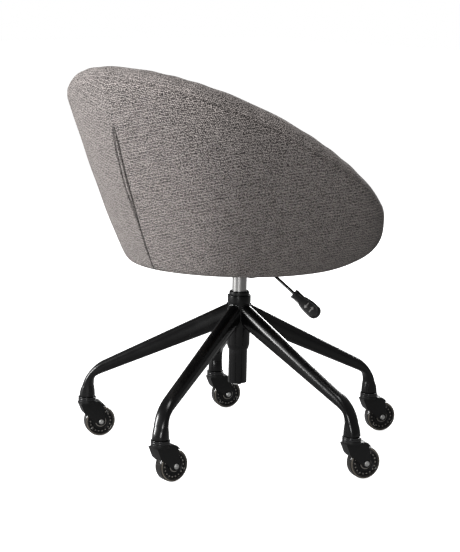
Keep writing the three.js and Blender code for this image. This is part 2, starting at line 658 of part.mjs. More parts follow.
/** The handle: a neck that grips the rod and a round-ended paddle, drawn along +X. */
function handleGeometry() {
  const neck = HANDLE_NECK_WIDTH / 2;
  const paddle = HANDLE_PADDLE_WIDTH / 2;
  const centre = HANDLE_LENGTH - paddle;
  const outline = new THREE.Shape();
  outline.moveTo(0, -neck);
  outline.lineTo(HANDLE_NECK_LENGTH, -neck);
  outline.quadraticCurveTo(HANDLE_NECK_LENGTH + 8, -paddle, centre, -paddle);
  outline.absarc(centre, 0, paddle, -Math.PI / 2, Math.PI / 2);
  outline.quadraticCurveTo(HANDLE_NECK_LENGTH + 8, paddle, HANDLE_NECK_LENGTH, neck);
  outline.lineTo(0, neck);
  const slab = new THREE.ExtrudeGeometry(outline, {
    depth: HANDLE_THICKNESS, bevelEnabled: false, curveSegments: 7,
  }).translate(0, 0, -HANDLE_THICKNESS / 2);
  const socket = rod(LEVER_ROD_RADIUS + GAP, -1, HANDLE_GRIP_DEPTH, 10).rotateY(Math.PI / 2);
  return geometryOf(solid(slab).subtract(solid(socket)));
}

add(chair, 'taper_socket', taperSocketGeometry(), powderCoat);
add(chair, 'seat_plate', seatPlateGeometry(), powderCoat);
add(chair, 'valve_pin', rod(VALVE_RADIUS, PRESSURE_TOP - 4.5, valveTop, 12), zincSteel);
[[-1, -1], [1, -1], [1, 1], [-1, 1]].forEach(([sx, sy], i) => {
  const bolt = add(chair, `plate_bolt_${i + 1}`, boltGeometry(), zincSteel);
  bolt.position.set(sx * BOLT_X, sy * BOLT_Y, 0);
});
add(chair, 'lever_rod', leverRodGeometry(), powderCoat);
const handle = add(chair, 'lever_handle', handleGeometry(), blackPlastic);
const slopeDown = new THREE.Matrix4().makeRotationY(Math.PI - rad(LEVER_SLOPE));
handle.quaternion.setFromRotationMatrix(
  slopeDown.multiply(new THREE.Matrix4().makeRotationX(rad(HANDLE_ROLL))),
);
handle.position.copy(handleStart);

// ---- Tub ----------------------------------------------------------------------------------

/** The wall at one angle from the front: its outer and inner curves and its rolled rim. */
function wallAt(angle) {
  const at = (x, y) => new THREE.Vector2(x, y);
  const lean = rad(harmonic(RIM_LEAN, angle));
  const up = at(Math.sin(lean), Math.cos(lean));
  const inward = at(-Math.cos(lean), Math.sin(lean));
  const sole = at(harmonic(SOLE_RADIUS, angle), UNDERSIDE);
  const rim = at(harmonic(RIM_RADIUS, angle), harmonic(RIM_HEIGHT, angle));
  const outer = new THREE.CubicBezierCurve(
    sole,
    sole.clone().add(at(harmonic(SOLE_BULGE, angle), 0)),
    rim.clone().addScaledVector(up, -harmonic(RIM_BULGE, angle)),
    rim,
  );
  const centre = rim.clone().addScaledVector(inward, RIM_ROLL_RADIUS);
  const roll = (turn) => centre.clone()
    .addScaledVector(inward, -RIM_ROLL_RADIUS * Math.cos(turn))
    .addScaledVector(up, RIM_ROLL_RADIUS * Math.sin(turn));
  const rollEnd = Math.PI + Math.min(lean, 0);
  const innerRim = roll(rollEnd);
  const innerLean = Math.max(lean, 0);
  const deck = at(sole.x - DECK_INSET, UNDERSIDE + DECK_THICKNESS);
  const innerDown = at(-Math.sin(innerLean), -Math.cos(innerLean));
  const inner = new THREE.CubicBezierCurve(
    deck,
    deck.clone().add(at((innerRim.x - deck.x) * 0.5, 0)),
    innerRim.clone().addScaledVector(innerDown, (innerRim.y - deck.y) * 0.4),
    innerRim,
  );
  return { outer, inner, roll, rollEnd, deck };
}

/** A point of the wall at a share of its height and a depth in from the outer surface. */
function wallPoint(wall, share, depth) {
  const from = wall.outer.getPoint(share);
  const to = wall.inner.getPoint(share);
  return from.lerp(to, depth / from.distanceTo(to));
}

/**
 * A layer's points up the wall at one depth, from the sole to a share of the height. All
 * layers share the same steps, so that their facets stay parallel.
 */
function wallLine(wall, depth, reach = 1) {
  return WALL_SHARES.filter((share) => share <= reach).map((share) => wallPoint(wall, share, depth));
}

/** The chord across the wall on which the rolled rim sits, from its outer to its inner seam. */
function seamAt(wall) {
  const outside = wall.roll(rad(ROLL_SEAM_ANGLE));
  const inside = wall.roll(wall.rollEnd - rad(ROLL_SEAM_ANGLE) / 3);
  const along = inside.clone().sub(outside);
  const width = along.length();
  along.normalize();
  const down = new THREE.Vector2(along.y, -along.x);
  if (down.y > 0) down.negate();
  const point = (depth, drop) => (
    outside.clone().addScaledVector(along, depth).addScaledVector(down, drop)
  );
  return { width, point };
}

const shellDepth = COVER_DEPTH + GAP;
const padDepth = shellDepth + SHELL_THICKNESS + GAP;
const deckHeight = UNDERSIDE + DECK_THICKNESS;

/** Section of the outer cover: foam and fabric from the board's edge up to the rim's seam. */
function coverSection(angle) {
  const wall = wallAt(angle);
  const seam = seamAt(wall);
  return [
    new THREE.Vector2(BOARD_RADIUS + GAP, UNDERSIDE),
    ...wallLine(wall, 0),
    wall.roll(rad(ROLL_SEAM_ANGLE / 2)),
    seam.point(SEAM_TUCK, GAP),
    seam.point(COVER_DEPTH, GAP),
    ...wallLine(wall, COVER_DEPTH).reverse(),
    new THREE.Vector2(BOARD_RADIUS + GAP, flatLevel(COVER_DEPTH)),
  ];
}

/** Section of the moulded shell: a bowl of even thickness inside the cover. */
function shellSection(angle) {
  const wall = wallAt(angle);
  return [
    new THREE.Vector2(0, flatLevel(shellDepth)),
    ...wallLine(wall, shellDepth, SHELL_REACH),
    ...wallLine(wall, shellDepth + SHELL_THICKNESS, SHELL_REACH).reverse(),
    new THREE.Vector2(0, flatLevel(shellDepth + SHELL_THICKNESS)),
  ];
}

/** Section of the inner pad: it lines the shell, laps over its edge and forms the deck. */
function padSection(angle) {
  const wall = wallAt(angle);
  const seam = seamAt(wall);
  const inside = WALL_SHARES.map((share) => wall.inner.getPoint(share)).reverse();
  return [
    new THREE.Vector2(0, flatLevel(padDepth)),
    ...wallLine(wall, padDepth, PAD_LAP),
    wallPoint(wall, PAD_LAP, shellDepth),
    seam.point(shellDepth, GAP),
    seam.point(seam.width - SEAM_TUCK, GAP),
    ...inside,
    new THREE.Vector2(0, deckHeight),
  ];
}

/** Section of the rolled rim above its seam. */
function rollSection(angle) {
  const wall = wallAt(angle);
  const seam = seamAt(wall);
  const start = rad(ROLL_SEAM_ANGLE);
  const end = wall.rollEnd - start / 3;
  const points = [];
  for (let i = 0; i <= ROLL_STEPS; i += 1) {
    points.push(wall.roll(start + ((end - start) * i) / ROLL_STEPS));
  }
  [seam.width - SEAM_TUCK, shellDepth, COVER_DEPTH, SEAM_TUCK].forEach((depth) => {
    points.push(seam.point(depth, 0));
  });
  return points;
}

/** Radius of the bowl's inside at a height, at one angle from the front. */
function insideRadius(wall, height) {
  const profile = WALL_SHARES.map((share) => wall.inner.getPoint(share));
  for (let i = 1; i <= 12; i += 1) profile.push(wall.roll(wall.rollEnd - (i / 24) * Math.PI));
  const above = profile.findIndex((p) => p.y >= height && p !== profile[0]);
  const a = profile[Math.max(above - 1, 0)];
  const b = profile[above];
  return THREE.MathUtils.mapLinear(height, a.y, b.y, a.x, b.x);
}

/** Section of the seat cushion: it fills the bowl above the deck and has a flat crown. */
function cushionSection(angle) {
  const wall = wallAt(angle);
  const bottom = deckHeight + GAP;
  const edge = (rise) => (
    insideRadius(wall, deckHeight + rise - CUSHION_CLEARANCE) - CUSHION_CLEARANCE
  );
  const crown = deckHeight + CUSHION_HEIGHT;
  const shoulder = edge(CUSHION_EDGE) - 9;
  return [
    new THREE.Vector2(0, bottom),
    new THREE.Vector2(wall.deck.x - 6, bottom),
    new THREE.Vector2(Math.min(edge(7), edge(CUSHION_EDGE)), deckHeight + 7),
    new THREE.Vector2(Math.min(edge(17), edge(CUSHION_EDGE)), deckHeight + 17),
    new THREE.Vector2(shoulder, deckHeight + CUSHION_EDGE),
    new THREE.Vector2(
      (shoulder + CUSHION_FLAT_RADIUS) / 2,
      (crown + deckHeight + CUSHION_EDGE) / 2 + 2.5,
    ),
    new THREE.Vector2(CUSHION_FLAT_RADIUS, crown),
    new THREE.Vector2(0, crown),
  ];
}

/** The mounting board: a plywood disc let into the cover, drilled for the plate's bolts. */
function boardGeometry() {
  let board = solid(rod(BOARD_RADIUS, UNDERSIDE, flatLevel(COVER_DEPTH), TUB_SIDES));
  [[1, 1], [1, -1], [-1, 1], [-1, -1]].forEach(([sx, sy]) => {
    const hole = rod(BOLT_RADIUS + GAP, UNDERSIDE - 1, UNDERSIDE + COVER_DEPTH + 1, 8);
    board = board.subtract(solid(hole.translate(sx * BOLT_X, sy * BOLT_Y, 0)));
  });
  return geometryOf(board);
}

add(chair, 'mounting_board', boardGeometry(), plywood);
add(chair, 'outer_cover', sweepRound(coverSection, TUB_SIDES), fabric);
add(chair, 'tub_shell', sweepRound(shellSection, TUB_SIDES), moulding);
add(chair, 'inner_pad', sweepRound(padSection, TUB_SIDES), fabric);
add(chair, 'rim_roll', sweepRound(rollSection, TUB_SIDES), fabric);
add(chair, 'seat_cushion', sweepRound(cushionSection, TUB_SIDES), fabric);

// ---- Castors ------------------------------------------------------------------------------

const wheelRadius = WHEEL_DIAMETER / 2;
const forkTop = LEG_END - GAP - COLLAR_THICKNESS - GAP;
const pivotBottom = forkTop - PIVOT_LENGTH;
const pocketHalf = WHEEL_WIDTH / 2 + WHEEL_SIDE_PLAY;
const forkHalf = pocketHalf + FORK_CHEEK;

/** The stem: a pin up into the leg, a collar and a pivot pin down into the fork. */
function stemGeometry() {
  const collarBottom = forkTop + GAP;
  const collarTop = LEG_END - GAP;
  return revolve([
    [0, pivotBottom],
    [PIVOT_RADIUS, pivotBottom],
    [PIVOT_RADIUS, collarBottom],
    [COLLAR_RADIUS, collarBottom],
    [COLLAR_RADIUS, collarTop],
    [STEM_RADIUS, collarTop],
    [STEM_RADIUS, LEG_END + STEM_LENGTH],
    [0, LEG_END + STEM_LENGTH],
  ], 12);
}

/** The fork trails along +X: a collar, a crown and two cheeks round the wheel's pocket. */
function forkGeometry() {
  const crown = forkTop - COLLAR_THICKNESS;
  const boss = FORK_BOSS_RADIUS;
  const side = new THREE.Shape();
  side.moveTo(-COLLAR_RADIUS + 1, crown + 0.6);
  side.lineTo(-8, wheelRadius + 17);
  side.lineTo(CASTOR_TRAIL - boss * 0.8, wheelRadius - boss * 0.6);
  side.absarc(CASTOR_TRAIL, wheelRadius, boss, Math.PI * 1.2, Math.PI * 1.97);
  side.lineTo(CASTOR_TRAIL + 6, wheelRadius + 28);
  side.lineTo(CASTOR_TRAIL + 2, forkTop - 4.5);
  side.lineTo(CASTOR_TRAIL - 3, forkTop - FORK_TOP_DROP);
  side.lineTo(0, forkTop - FORK_TOP_DROP);
  const body = new THREE.ExtrudeGeometry(side, {
    depth: forkHalf * 2, bevelEnabled: false, curveSegments: 4,
  }).rotateX(Math.PI / 2).translate(0, forkHalf, 0);
  const pocket = crossRod(wheelRadius + WHEEL_TOP_PLAY, pocketHalf, CASTOR_TRAIL, wheelRadius, 18);
  const pivotHole = rod(PIVOT_RADIUS + GAP, pivotBottom - 8, forkTop + 1, 12);
  const axleHole = crossRod(AXLE_DIAMETER / 2 + GAP, forkHalf + 1, CASTOR_TRAIL, wheelRadius, 12);
  return geometryOf(solid(body)
    .add(solid(rod(COLLAR_RADIUS, crown, forkTop, 16)))
    .subtract(solid(pocket))
    .subtract(solid(pivotHole))
    .subtract(solid(axleHole)));
}

/** The axle bolt: a shank through both cheeks with a head on each side. */
function axleGeometry() {
  const face = forkHalf + GAP;
  const end = face + AXLE_HEAD_HEIGHT;
  const shank = AXLE_DIAMETER / 2;
  const head = shank + AXLE_HEAD_OVERHANG;
  return revolve([
    [0, -end],
    [head, -end],
    [head, -face],
    [shank, -face],
    [shank, face],
    [head, face],
    [head, end],
    [0, end],
  ], 12);
}

/** The wheel's core: a hub, a thinner web and a rim that the tyre is cast round. */
function coreGeometry() {
  const rim = wheelRadius - TYRE_THICKNESS - GAP;
  const half = WHEEL_WIDTH / 2;
  return revolve([
    [AXLE_DIAMETER / 2 + GAP, -half],
    [WHEEL_HUB_RADIUS, -half],
    [rim, -half + WEB_SET_BACK],
    [rim, half - WEB_SET_BACK],
    [WHEEL_HUB_RADIUS, half],
    [AXLE_DIAMETER / 2 + GAP, half],
  ], WHEEL_SIDES);
}

/** The tyre: a cast ring with rounded shoulders. */
function tyreGeometry() {
  const bore = wheelRadius - TYRE_THICKNESS;
  const half = WHEEL_WIDTH / 2;
  const shoulder = 3;
  return revolve([
    [bore, -half + 1],
    [wheelRadius - shoulder, -half],
    [wheelRadius, -half + shoulder],
    [wheelRadius, half - shoulder],
    [wheelRadius - shoulder, half],
    [bore, half - 1],
  ], WHEEL_SIDES);
}

/** Turns a piece made about Z so that it lies along the axle. */
function onAxle(geometry) {
  return geometry.rotateX(Math.PI / 2).translate(CASTOR_TRAIL, 0, wheelRadius);
}

for (let i = 0; i < ARM_COUNT; i += 1) {
  const angle = rad(FIRST_ARM_ANGLE + (i * 360) / ARM_COUNT);
  const castor = new THREE.Group();
  castor.position.set(LEG_RADIUS * Math.cos(angle), LEG_RADIUS * Math.sin(angle), 0);
  castor.rotation.z = rad(CASTOR_YAWS[i]);
  add(castor, `castor_stem_${i + 1}`, stemGeometry(), blackSteel);
  add(castor, `castor_fork_${i + 1}`, forkGeometry(), blackPlastic);
  add(castor, `castor_axle_${i + 1}`, onAxle(axleGeometry()), zincSteel);
  add(castor, `wheel_core_${i + 1}`, onAxle(coreGeometry()), blackPlastic);
  add(castor, `wheel_tyre_${i + 1}`, onAxle(tyreGeometry()), smokedTyre);
  chair.add(castor);
}

export default chair;
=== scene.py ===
"""An upholstered swivel tub chair on a five-arm base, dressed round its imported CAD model.

All sizes are in metres. The origin is on the floor under the column, +Z is up and the sitter
faces -Y, so the release lever is on the -X side.
"""

import json
import math

import bmesh
import bpy
import numpy as np
from mathutils import Matrix, Vector


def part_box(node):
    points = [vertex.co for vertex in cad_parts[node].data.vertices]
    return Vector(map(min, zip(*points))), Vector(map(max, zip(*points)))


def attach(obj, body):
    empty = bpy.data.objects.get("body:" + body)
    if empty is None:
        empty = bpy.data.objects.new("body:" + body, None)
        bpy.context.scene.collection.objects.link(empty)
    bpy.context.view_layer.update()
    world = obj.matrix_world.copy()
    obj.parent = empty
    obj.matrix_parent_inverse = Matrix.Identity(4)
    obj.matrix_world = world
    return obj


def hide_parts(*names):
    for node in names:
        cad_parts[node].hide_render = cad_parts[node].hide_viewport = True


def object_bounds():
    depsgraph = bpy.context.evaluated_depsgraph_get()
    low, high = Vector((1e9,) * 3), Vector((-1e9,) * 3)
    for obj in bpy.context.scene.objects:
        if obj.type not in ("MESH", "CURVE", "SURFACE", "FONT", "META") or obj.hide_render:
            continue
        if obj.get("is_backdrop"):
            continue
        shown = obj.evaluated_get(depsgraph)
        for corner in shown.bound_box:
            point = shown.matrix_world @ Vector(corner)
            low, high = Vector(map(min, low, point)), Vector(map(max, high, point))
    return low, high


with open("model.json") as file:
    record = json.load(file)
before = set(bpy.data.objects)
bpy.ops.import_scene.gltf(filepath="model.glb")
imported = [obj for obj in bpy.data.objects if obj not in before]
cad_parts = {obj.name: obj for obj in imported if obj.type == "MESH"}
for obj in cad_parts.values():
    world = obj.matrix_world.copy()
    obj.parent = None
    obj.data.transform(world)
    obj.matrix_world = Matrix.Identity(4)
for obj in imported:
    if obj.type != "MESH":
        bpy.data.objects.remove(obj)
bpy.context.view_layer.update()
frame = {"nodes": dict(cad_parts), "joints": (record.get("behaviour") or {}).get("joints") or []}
joints = {joint["name"]: joint for joint in frame["joints"]}

# ---- Camera ---------------------------------------------------------------------------------
# A long portrait lens stands 3.5 m off, behind the chair and a little above the rim of its tub.
# It is turned 1.3 degrees out of true, and its aim needs no shift.
azimuth, elevation, roll = math.radians(225.303), math.radians(9.974), math.radians(1.267)
back = Vector((
    math.sin(azimuth) * math.cos(elevation),
    -math.cos(azimuth) * math.cos(elevation),
    math.sin(elevation),
))
level = Vector((0, 0, 1)).cross(back).normalized()
upright = back.cross(level)
right = level * math.cos(roll) + upright * math.sin(roll)
above = upright * math.cos(roll) - level * math.sin(roll)
camera = bpy.data.objects.new("camera", bpy.data.cameras.new("camera"))
camera.data.sensor_width = 36
camera.data.lens = 115.24
camera.data.clip_start, camera.data.clip_end = 0.05, 50
camera.matrix_world = Matrix.Translation((-2.3518, 2.3532, 0.9187)) @ Matrix(
    (right, above, back)).transposed().to_4x4()
bpy.context.scene.collection.objects.link(camera)
bpy.context.scene.camera = camera

# ---- Studio ---------------------------------------------------------------------------------
# White paper runs under the chair and out of sight, lit so that it hides its own horizon but
# throws little light back. One soft box stands beside the chair's back, a weak one fills the
# other side, one hangs overhead and one lights the open front of the tub.
bpy.context.scene.view_settings.view_transform = "Standard"


def grey(level):
    """A neutral colour of that level."""
    return level, level, level, 1


def shown_apart(tree, dim, bright, output):
    """Shows the camera's own rays the bright shader, and every other ray the dim one."""
    seen, either = tree.nodes.new("ShaderNodeLightPath"), tree.nodes.new("ShaderNodeMixShader")
    tree.links.new(seen.outputs["Is Camera Ray"], either.inputs["Fac"])
    tree.links.new(dim.outputs[0], either.inputs[1])
    tree.links.new(bright.outputs[0], either.inputs[2])
    tree.links.new(either.outputs[0], tree.nodes[output].inputs["Surface"])


sky = bpy.data.worlds.new("studio")
sky.use_nodes = True
soft, bright = sky.node_tree.nodes["Background"], sky.node_tree.nodes.new("ShaderNodeBackground")
for light, strength in ((soft, 0.15), (bright, 1.0)):
    light.inputs["Color"].default_value = grey(1)
    light.inputs["Strength"].default_value = strength
shown_apart(sky.node_tree, soft, bright, "World Output")
bpy.context.scene.world = sky


def soft_box(name, place, aim, width, height, power):
    """A flat lamp width x height that stands at place and faces aim."""
    lamp = bpy.data.objects.new(name, bpy.data.lights.new(name, "AREA"))
    lamp.data.shape = "RECTANGLE"
    lamp.data.size, lamp.data.size_y, lamp.data.energy = width, height, power
    lamp.location = place
    lamp.rotation_euler = (Vector(aim) - Vector(place)).to_track_quat("-Z", "Y").to_euler()
    bpy.context.scene.collection.objects.link(lamp)


soft_box("key_box", (2.1, 2.8, 1.2), (0, 0, 0.5), 1.0, 1.6, 156)
soft_box("fill_box", (-1.9, 2.7, 0.8), (0, 0, 0.5), 0.5, 1.0, 30)
soft_box("top_box", (-0.3, 0.6, 2.6), (0, 0, 0.4), 1.0, 1.0, 20)
soft_box("front_box", (1.3, -2.7, 1.7), (0, 0, 0.5), 1.2, 1.4, 95)

paper = bpy.data.objects.new("paper_floor", bpy.data.meshes.new("paper_floor"))
reach = 14.0
paper.data.from_pydata(
    [(-reach, -reach, 0), (reach, -reach, 0), (reach, reach, 0), (-reach, reach, 0)], [],
    [(0, 1, 2, 3)])
bpy.context.scene.collection.objects.link(paper)
paper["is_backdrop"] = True

# ---- Welded base: hub and arms ----------------------------------------------------------------
# A short turned hub carries five arms of oval steel tube. Each arm slopes down, is bent round
# into an upright leg and is welded to the hub with one bead. The whole base is powder-coated.


class Value:
    """A number or colour on the surface. Arithmetic on it adds the Math nodes that work it out."""

    def __init__(self, finish, socket):
        self.finish, self.socket = finish, socket

    def reckon(self, operation, *terms):
        """The Math node of that name on these terms."""
        return self.finish.node("ShaderNodeMath", {"operation": operation}, dict(enumerate(terms)))

    def __add__(self, other):
        return self.reckon("ADD", self, other)

    __radd__ = __add__

    def __sub__(self, other):
        return self.reckon("SUBTRACT", self, other)

    def __rsub__(self, other):
        return self.reckon("SUBTRACT", other, self)

    def __mul__(self, other):
        return self.reckon("MULTIPLY", self, other)

    __rmul__ = __mul__

    def __truediv__(self, other):
        return self.reckon("DIVIDE", self, other)

    def __mod__(self, other):
        return self.reckon("FLOORED_MODULO", self, other)

    def within(self, low, high):
        """0 up to low, 1 from high on, and a smooth step between."""
        settings = {"interpolation_type": "SMOOTHSTEP"}
        return self.finish.node("ShaderNodeMapRange", settings, {0: self, 1: low, 2: high})


class Finish:
    """A material with one Principled shader. Constants go straight on the shader's sockets."""

    def __init__(self, name, **constants):
        self.material = bpy.data.materials.new(name)
        self.material.use_nodes = True
        self.tree = self.material.node_tree
        self.shader = self.tree.nodes["Principled BSDF"]
        self.place = self.node("ShaderNodeTexCoord", {}, {}, "Object")
        for socket, value in constants.items():
            self.shader.inputs[socket.replace("_", " ")].default_value = value

    def node(self, kind, settings, inputs, output=0):
        """Adds a node of a kind, with its settings and the values or links of its sockets."""
        made = self.tree.nodes.new(kind)
        for setting, value in settings.items():
            setattr(made, setting, value)
        for socket, value in inputs.items():
            if isinstance(value, Value):
                self.tree.links.new(value.socket, made.inputs[socket])
            else:
                made.inputs[socket].default_value = value
        return Value(self, made.outputs[output])

    def stretched(self, x, y, z, place=None):
        """The surface's own place, scaled by x, y and z before a pattern is read there."""
        return self.node("ShaderNodeMapping", {}, {0: place or self.place, 3: (x, y, z)})

    def cloudy(self, place, scale, detail=3.0):
        """Soft noise from 0 to 1, with that many waves to the metre."""
        return self.node("ShaderNodeTexNoise", {}, {"Vector": place, "Scale": scale,
                                                    "Detail": detail})

    def mixed(self, share, dark, light):
        """The colour at a share of the way from one to the other."""
        return self.node("ShaderNodeMix", {"data_type": "RGBA"}, {0: share, 6: dark, 7: light}, 2)

    def bumped(self, height, depth, strength=1.0):
        """Raises the surface by height times depth, in metres, in its shading alone."""
        return self.node("ShaderNodeBump", {}, {"Height": height, "Distance": depth,
                                                "Strength": strength})

    def onto(self, **sockets):
        """Links values to the shader's sockets."""
        for socket, value in sockets.items():
            self.tree.links.new(value.socket, self.shader.inputs[socket.replace("_", " ")])
        return self.material


def powder_coated():
    """Black powder coat: low orange peel, satin gloss, and a trace of dust on it."""
    coat = Finish("black_powder_coat", Coat_Weight=0.3, Coat_Roughness=0.1, IOR=1.4)
    peel = coat.cloudy(coat.place, 260.0, 1.0)
    dust = coat.cloudy(coat.place, 30.0, 1.0).within(0.4, 0.8)
    return coat.onto(
        Base_Color=coat.mixed(dust, (0.0022, 0.0022, 0.0024, 1), (0.006, 0.006, 0.0063, 1)),
        Roughness=0.24 + 0.04 * dust,
        Normal=coat.bumped(peel, 0.00001, 0.3))


powder_coat = powder_coated()
paper_white = Finish("white_paper", Roughness=0.9, Emission_Strength=1.0)
tooth = paper_white.cloudy(paper_white.place, 3.0)
paper.data.materials.append(paper_white.onto(
    Base_Color=paper_white.mixed(tooth, grey(0.78), grey(0.8)),
    Emission_Color=paper_white.mixed(tooth, grey(0.93), grey(0.95))))
dim = paper_white.tree.nodes.new("ShaderNodeBsdfDiffuse")
dim.inputs["Color"].default_value = grey(0.25)
shown_apart(paper_white.tree, dim, paper_white.shader, "Material Output")


def bezier(points, share):
    """A Bezier curve: its control points, each weighed by its binomial times s^k (1-s)^(n-k).

    Points may be one control polygon (k x 2) or one for each of several curves (k x curves x 2).
    """
    points = np.asarray(points, float)
    last, s = len(points) - 1, np.asarray(share)[:, None]
    return sum(math.comb(last, k) * s**k * (1 - s) ** (last - k) * points[k][..., None, :]
               for k in range(last + 1))


def lattice(grid, loop=False, capped=True):
    """Faces through a grid of rows x columns x 3 points: a quad between each four neighbours.

    The columns close into a ring. The rows close too where loop is set, and otherwise one flat
    face closes each end row.
    """
    rows, columns = grid.shape[:2]
    number = np.arange(rows * columns).reshape(rows, columns)
    across = np.hstack([number, number[:, :1]])
    down = np.vstack([across, across[:1]]) if loop else across
    quads = np.stack([down[:-1, :-1], down[:-1, 1:], down[1:, 1:], down[1:, :-1]], -1)
    faces = quads.reshape(-1, 4).tolist()
    if capped and not loop:
        faces += [number[0, ::-1].tolist(), number[-1].tolist()]
    return grid.reshape(-1, 3), faces


def make(name, *shells, chart=None, marks=None):
    """One mesh object from shells of points and faces, its doubles merged and its faces outward.

    Chart gives a grid's flat cloth coordinates, with the first row and column repeated at the
    end. Marks are named numbers, one for each point.
    """
    starts = np.cumsum([0] + [len(points) for points, _ in shells])
    faces = [[start + k for k in face] for (_, part), start in zip(shells, starts) for face in part]
    mesh = bpy.data.meshes.new(name)
    mesh.from_pydata(np.vstack([points for points, _ in shells]).tolist(), [], faces)
    if chart is not None:
        corner = np.arange(chart.shape[0] * chart.shape[1]).reshape(chart.shape[:2])
        around = np.stack([corner[:-1, :-1], corner[:-1, 1:], corner[1:, 1:], corner[1:, :-1]], -1)
        flat = np.zeros((len(mesh.loops), 2))
        flat[:around.size] = chart.reshape(-1, 2)[around.ravel()]
        mesh.uv_layers.new(name="cloth").data.foreach_set("uv", flat.ravel())
    for mark, values in (marks or {}).items():
        mesh.attributes.new(mark, "FLOAT", "POINT").data.foreach_set("value", values.ravel())
    tidy = bmesh.new()
    tidy.from_mesh(mesh)
    bmesh.ops.remove_doubles(tidy, verts=tidy.verts, dist=2e-6)
    loose = [edge for edge in tidy.edges if not edge.link_faces]
    bmesh.ops.delete(tidy, geom=loose, context="EDGES")
    bmesh.ops.recalc_face_normals(tidy, faces=tidy.faces)
    tidy.to_mesh(mesh)
    tidy.free()
    piece = bpy.data.objects.new(name, mesh)
    bpy.context.scene.collection.objects.link(piece)
    return piece


def fit(piece, material, body, slot, *nodes, crease=38):
    """Shades a piece smooth up to a crease angle, gives it its material and body, and hides its nodes. The
    slot is not used.
    """
    piece.data.shade_smooth()
    piece.data.set_sharp_from_angle(angle=math.radians(crease))
    piece.data.materials.clear()
    piece.data.materials.append(material)
    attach(piece, body)
    if nodes:
        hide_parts(*nodes)
    return piece


def round_turn(count):
    """That many angles, evenly round one full turn."""
    return np.linspace(0, 2 * math.pi, count, endpoint=False)


def unit(vectors):
    """Each vector, brought to a length of one."""
    return vectors / np.maximum(np.linalg.norm(vectors, axis=-1, keepdims=True), 1e-9)


def turned_to(points, angle, centre=(0, 0)):
    """Points turned by an angle about Z, then moved to a centre on the floor."""
    cosine, sine = math.cos(angle), math.sin(angle)
    x, y, z = points[..., 0], points[..., 1], points[..., 2]
    return np.stack([x * cosine - y * sine + centre[0], x * sine + y * cosine + centre[1], z], -1)


def rounded(outline, radius, steps=5):
    """An outline with each corner rounded: a parabola between points one radius from it.

    The radius may differ from corner to corner, and is at most half of each edge beside it.
    """
    corner = np.asarray(outline, float)
    before, after = np.roll(corner, 1, 0) - corner, np.roll(corner, -1, 0) - corner
    lengths = np.stack([np.linalg.norm(before, axis=1), np.linalg.norm(after, axis=1)])
    cut = np.minimum(np.broadcast_to(radius, len(corner)), lengths.min(0) * 0.49)[:, None]
    first, last = corner + before / lengths[0][:, None] * cut, corner + after / lengths[1][:, None] * cut
    s = np.linspace(0, 1, steps)[None, :, None]
    curve = (1 - s) ** 2 * first[:, None] + 2 * s * (1 - s) * corner[:, None] + s**2 * last[:, None]
    return curve.reshape(-1, 2)


def turned(outline, radius=0.0004, sides=96, steps=5):
    """A body turned about Z: its outline of (radius, height), rounded and carried round."""
    outline = rounded(outline, np.where(np.asarray(outline)[:, 0] > 1e-6, radius, 1e-7), steps)
    angle = round_turn(sides)
    grid = np.stack([
        outline[:, :1] * np.cos(angle), outline[:, :1] * np.sin(angle),
        np.repeat(outline[:, 1:], sides, 1)], -1)
    return lattice(grid, loop=True)


def heights(node):
    """The heights of a CAD node's foot and top."""
    return [corner.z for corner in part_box(node)]


hub_radius, (hub_bottom, hub_top) = 0.022, heights("hub")
tube_radius, tube_bottom = 0.018, heights("outer_tube")[0]
hub = make("welded_hub", turned([
    (tube_radius + 0.0003, hub_bottom), (tube_radius + 0.0012, hub_bottom),
    (hub_radius - 0.0006, hub_bottom + 0.007), (hub_radius, hub_bottom + 0.0085),
    (hub_radius, hub_top - 0.0145), (hub_radius + 0.0004, hub_top - 0.0135),
    (hub_radius + 0.0004, hub_top), (tube_radius + 0.0003, hub_top)], 0.0006))
fit(hub, powder_coat, "base", "powder_coat", "hub")

leg_radius, leg_end, leg_width = 0.2975, 0.080, 0.0296
arm_width, arm_top, arm_low = 0.027, 0.281, 0.236
bend_start, bend_top, bend_depth = leg_radius - 0.0315, 0.154, 0.023
inner_face, neck_height = leg_radius - leg_width / 2, 0.103


def arm_edges():
    """The arm's upper and lower edges in its own plane: a line, a bend and a leg each."""
    slope = (arm_top - bend_top) / (bend_start - hub_radius)
    low_start, low_top = bend_start - 0.45 * bend_depth, bend_top - 0.89 * bend_depth
    low_slope = (arm_low - low_top) / (low_start - hub_radius)
    neck_in, neck_out = inner_face + 0.0024, inner_face + 0.0239
    corner = (inner_face + 0.0009, low_top - low_slope * (inner_face + 0.0009 - low_start))
    inside_hub = 0.0048
    root = hub_radius - inside_hub
    outer_face = inner_face + leg_width
    line, bend, leg = np.linspace(0, 1, 9)[:-1], np.linspace(0, 1, 29)[:-1], np.linspace(0, 1, 12)
    upper = [
        bezier([(root, arm_top + inside_hub * slope), (bend_start, bend_top)], line),
        bezier([(bend_start, bend_top), (bend_start + 0.017, bend_top - 0.017 * slope),
                (neck_out - 0.006, neck_height + 0.023), (neck_out, neck_height)], bend),
        bezier([(neck_out, neck_height), (outer_face, leg_end + 0.012),
                (outer_face, leg_end + 0.0015)], leg)]
    lower = [
        bezier([(root, arm_low + inside_hub * low_slope), (low_start, low_top)], line),
        bezier([(low_start, low_top), corner, (neck_in, corner[1]), (neck_in, neck_height)], bend),
        bezier([(neck_in, neck_height), (inner_face, leg_end + 0.014),
                (inner_face, leg_end + 0.0015)], leg)]
    width = np.concatenate([np.full(36, arm_width), np.linspace(arm_width, leg_width, 12)])
    lip_upper, lip_lower = (outer_face - 0.0012, leg_end), (inner_face + 0.0012, leg_end)
    return (np.vstack([*upper, lip_upper]), np.vstack([*lower, lip_lower]),
            np.append(width, leg_width - 0.0024))


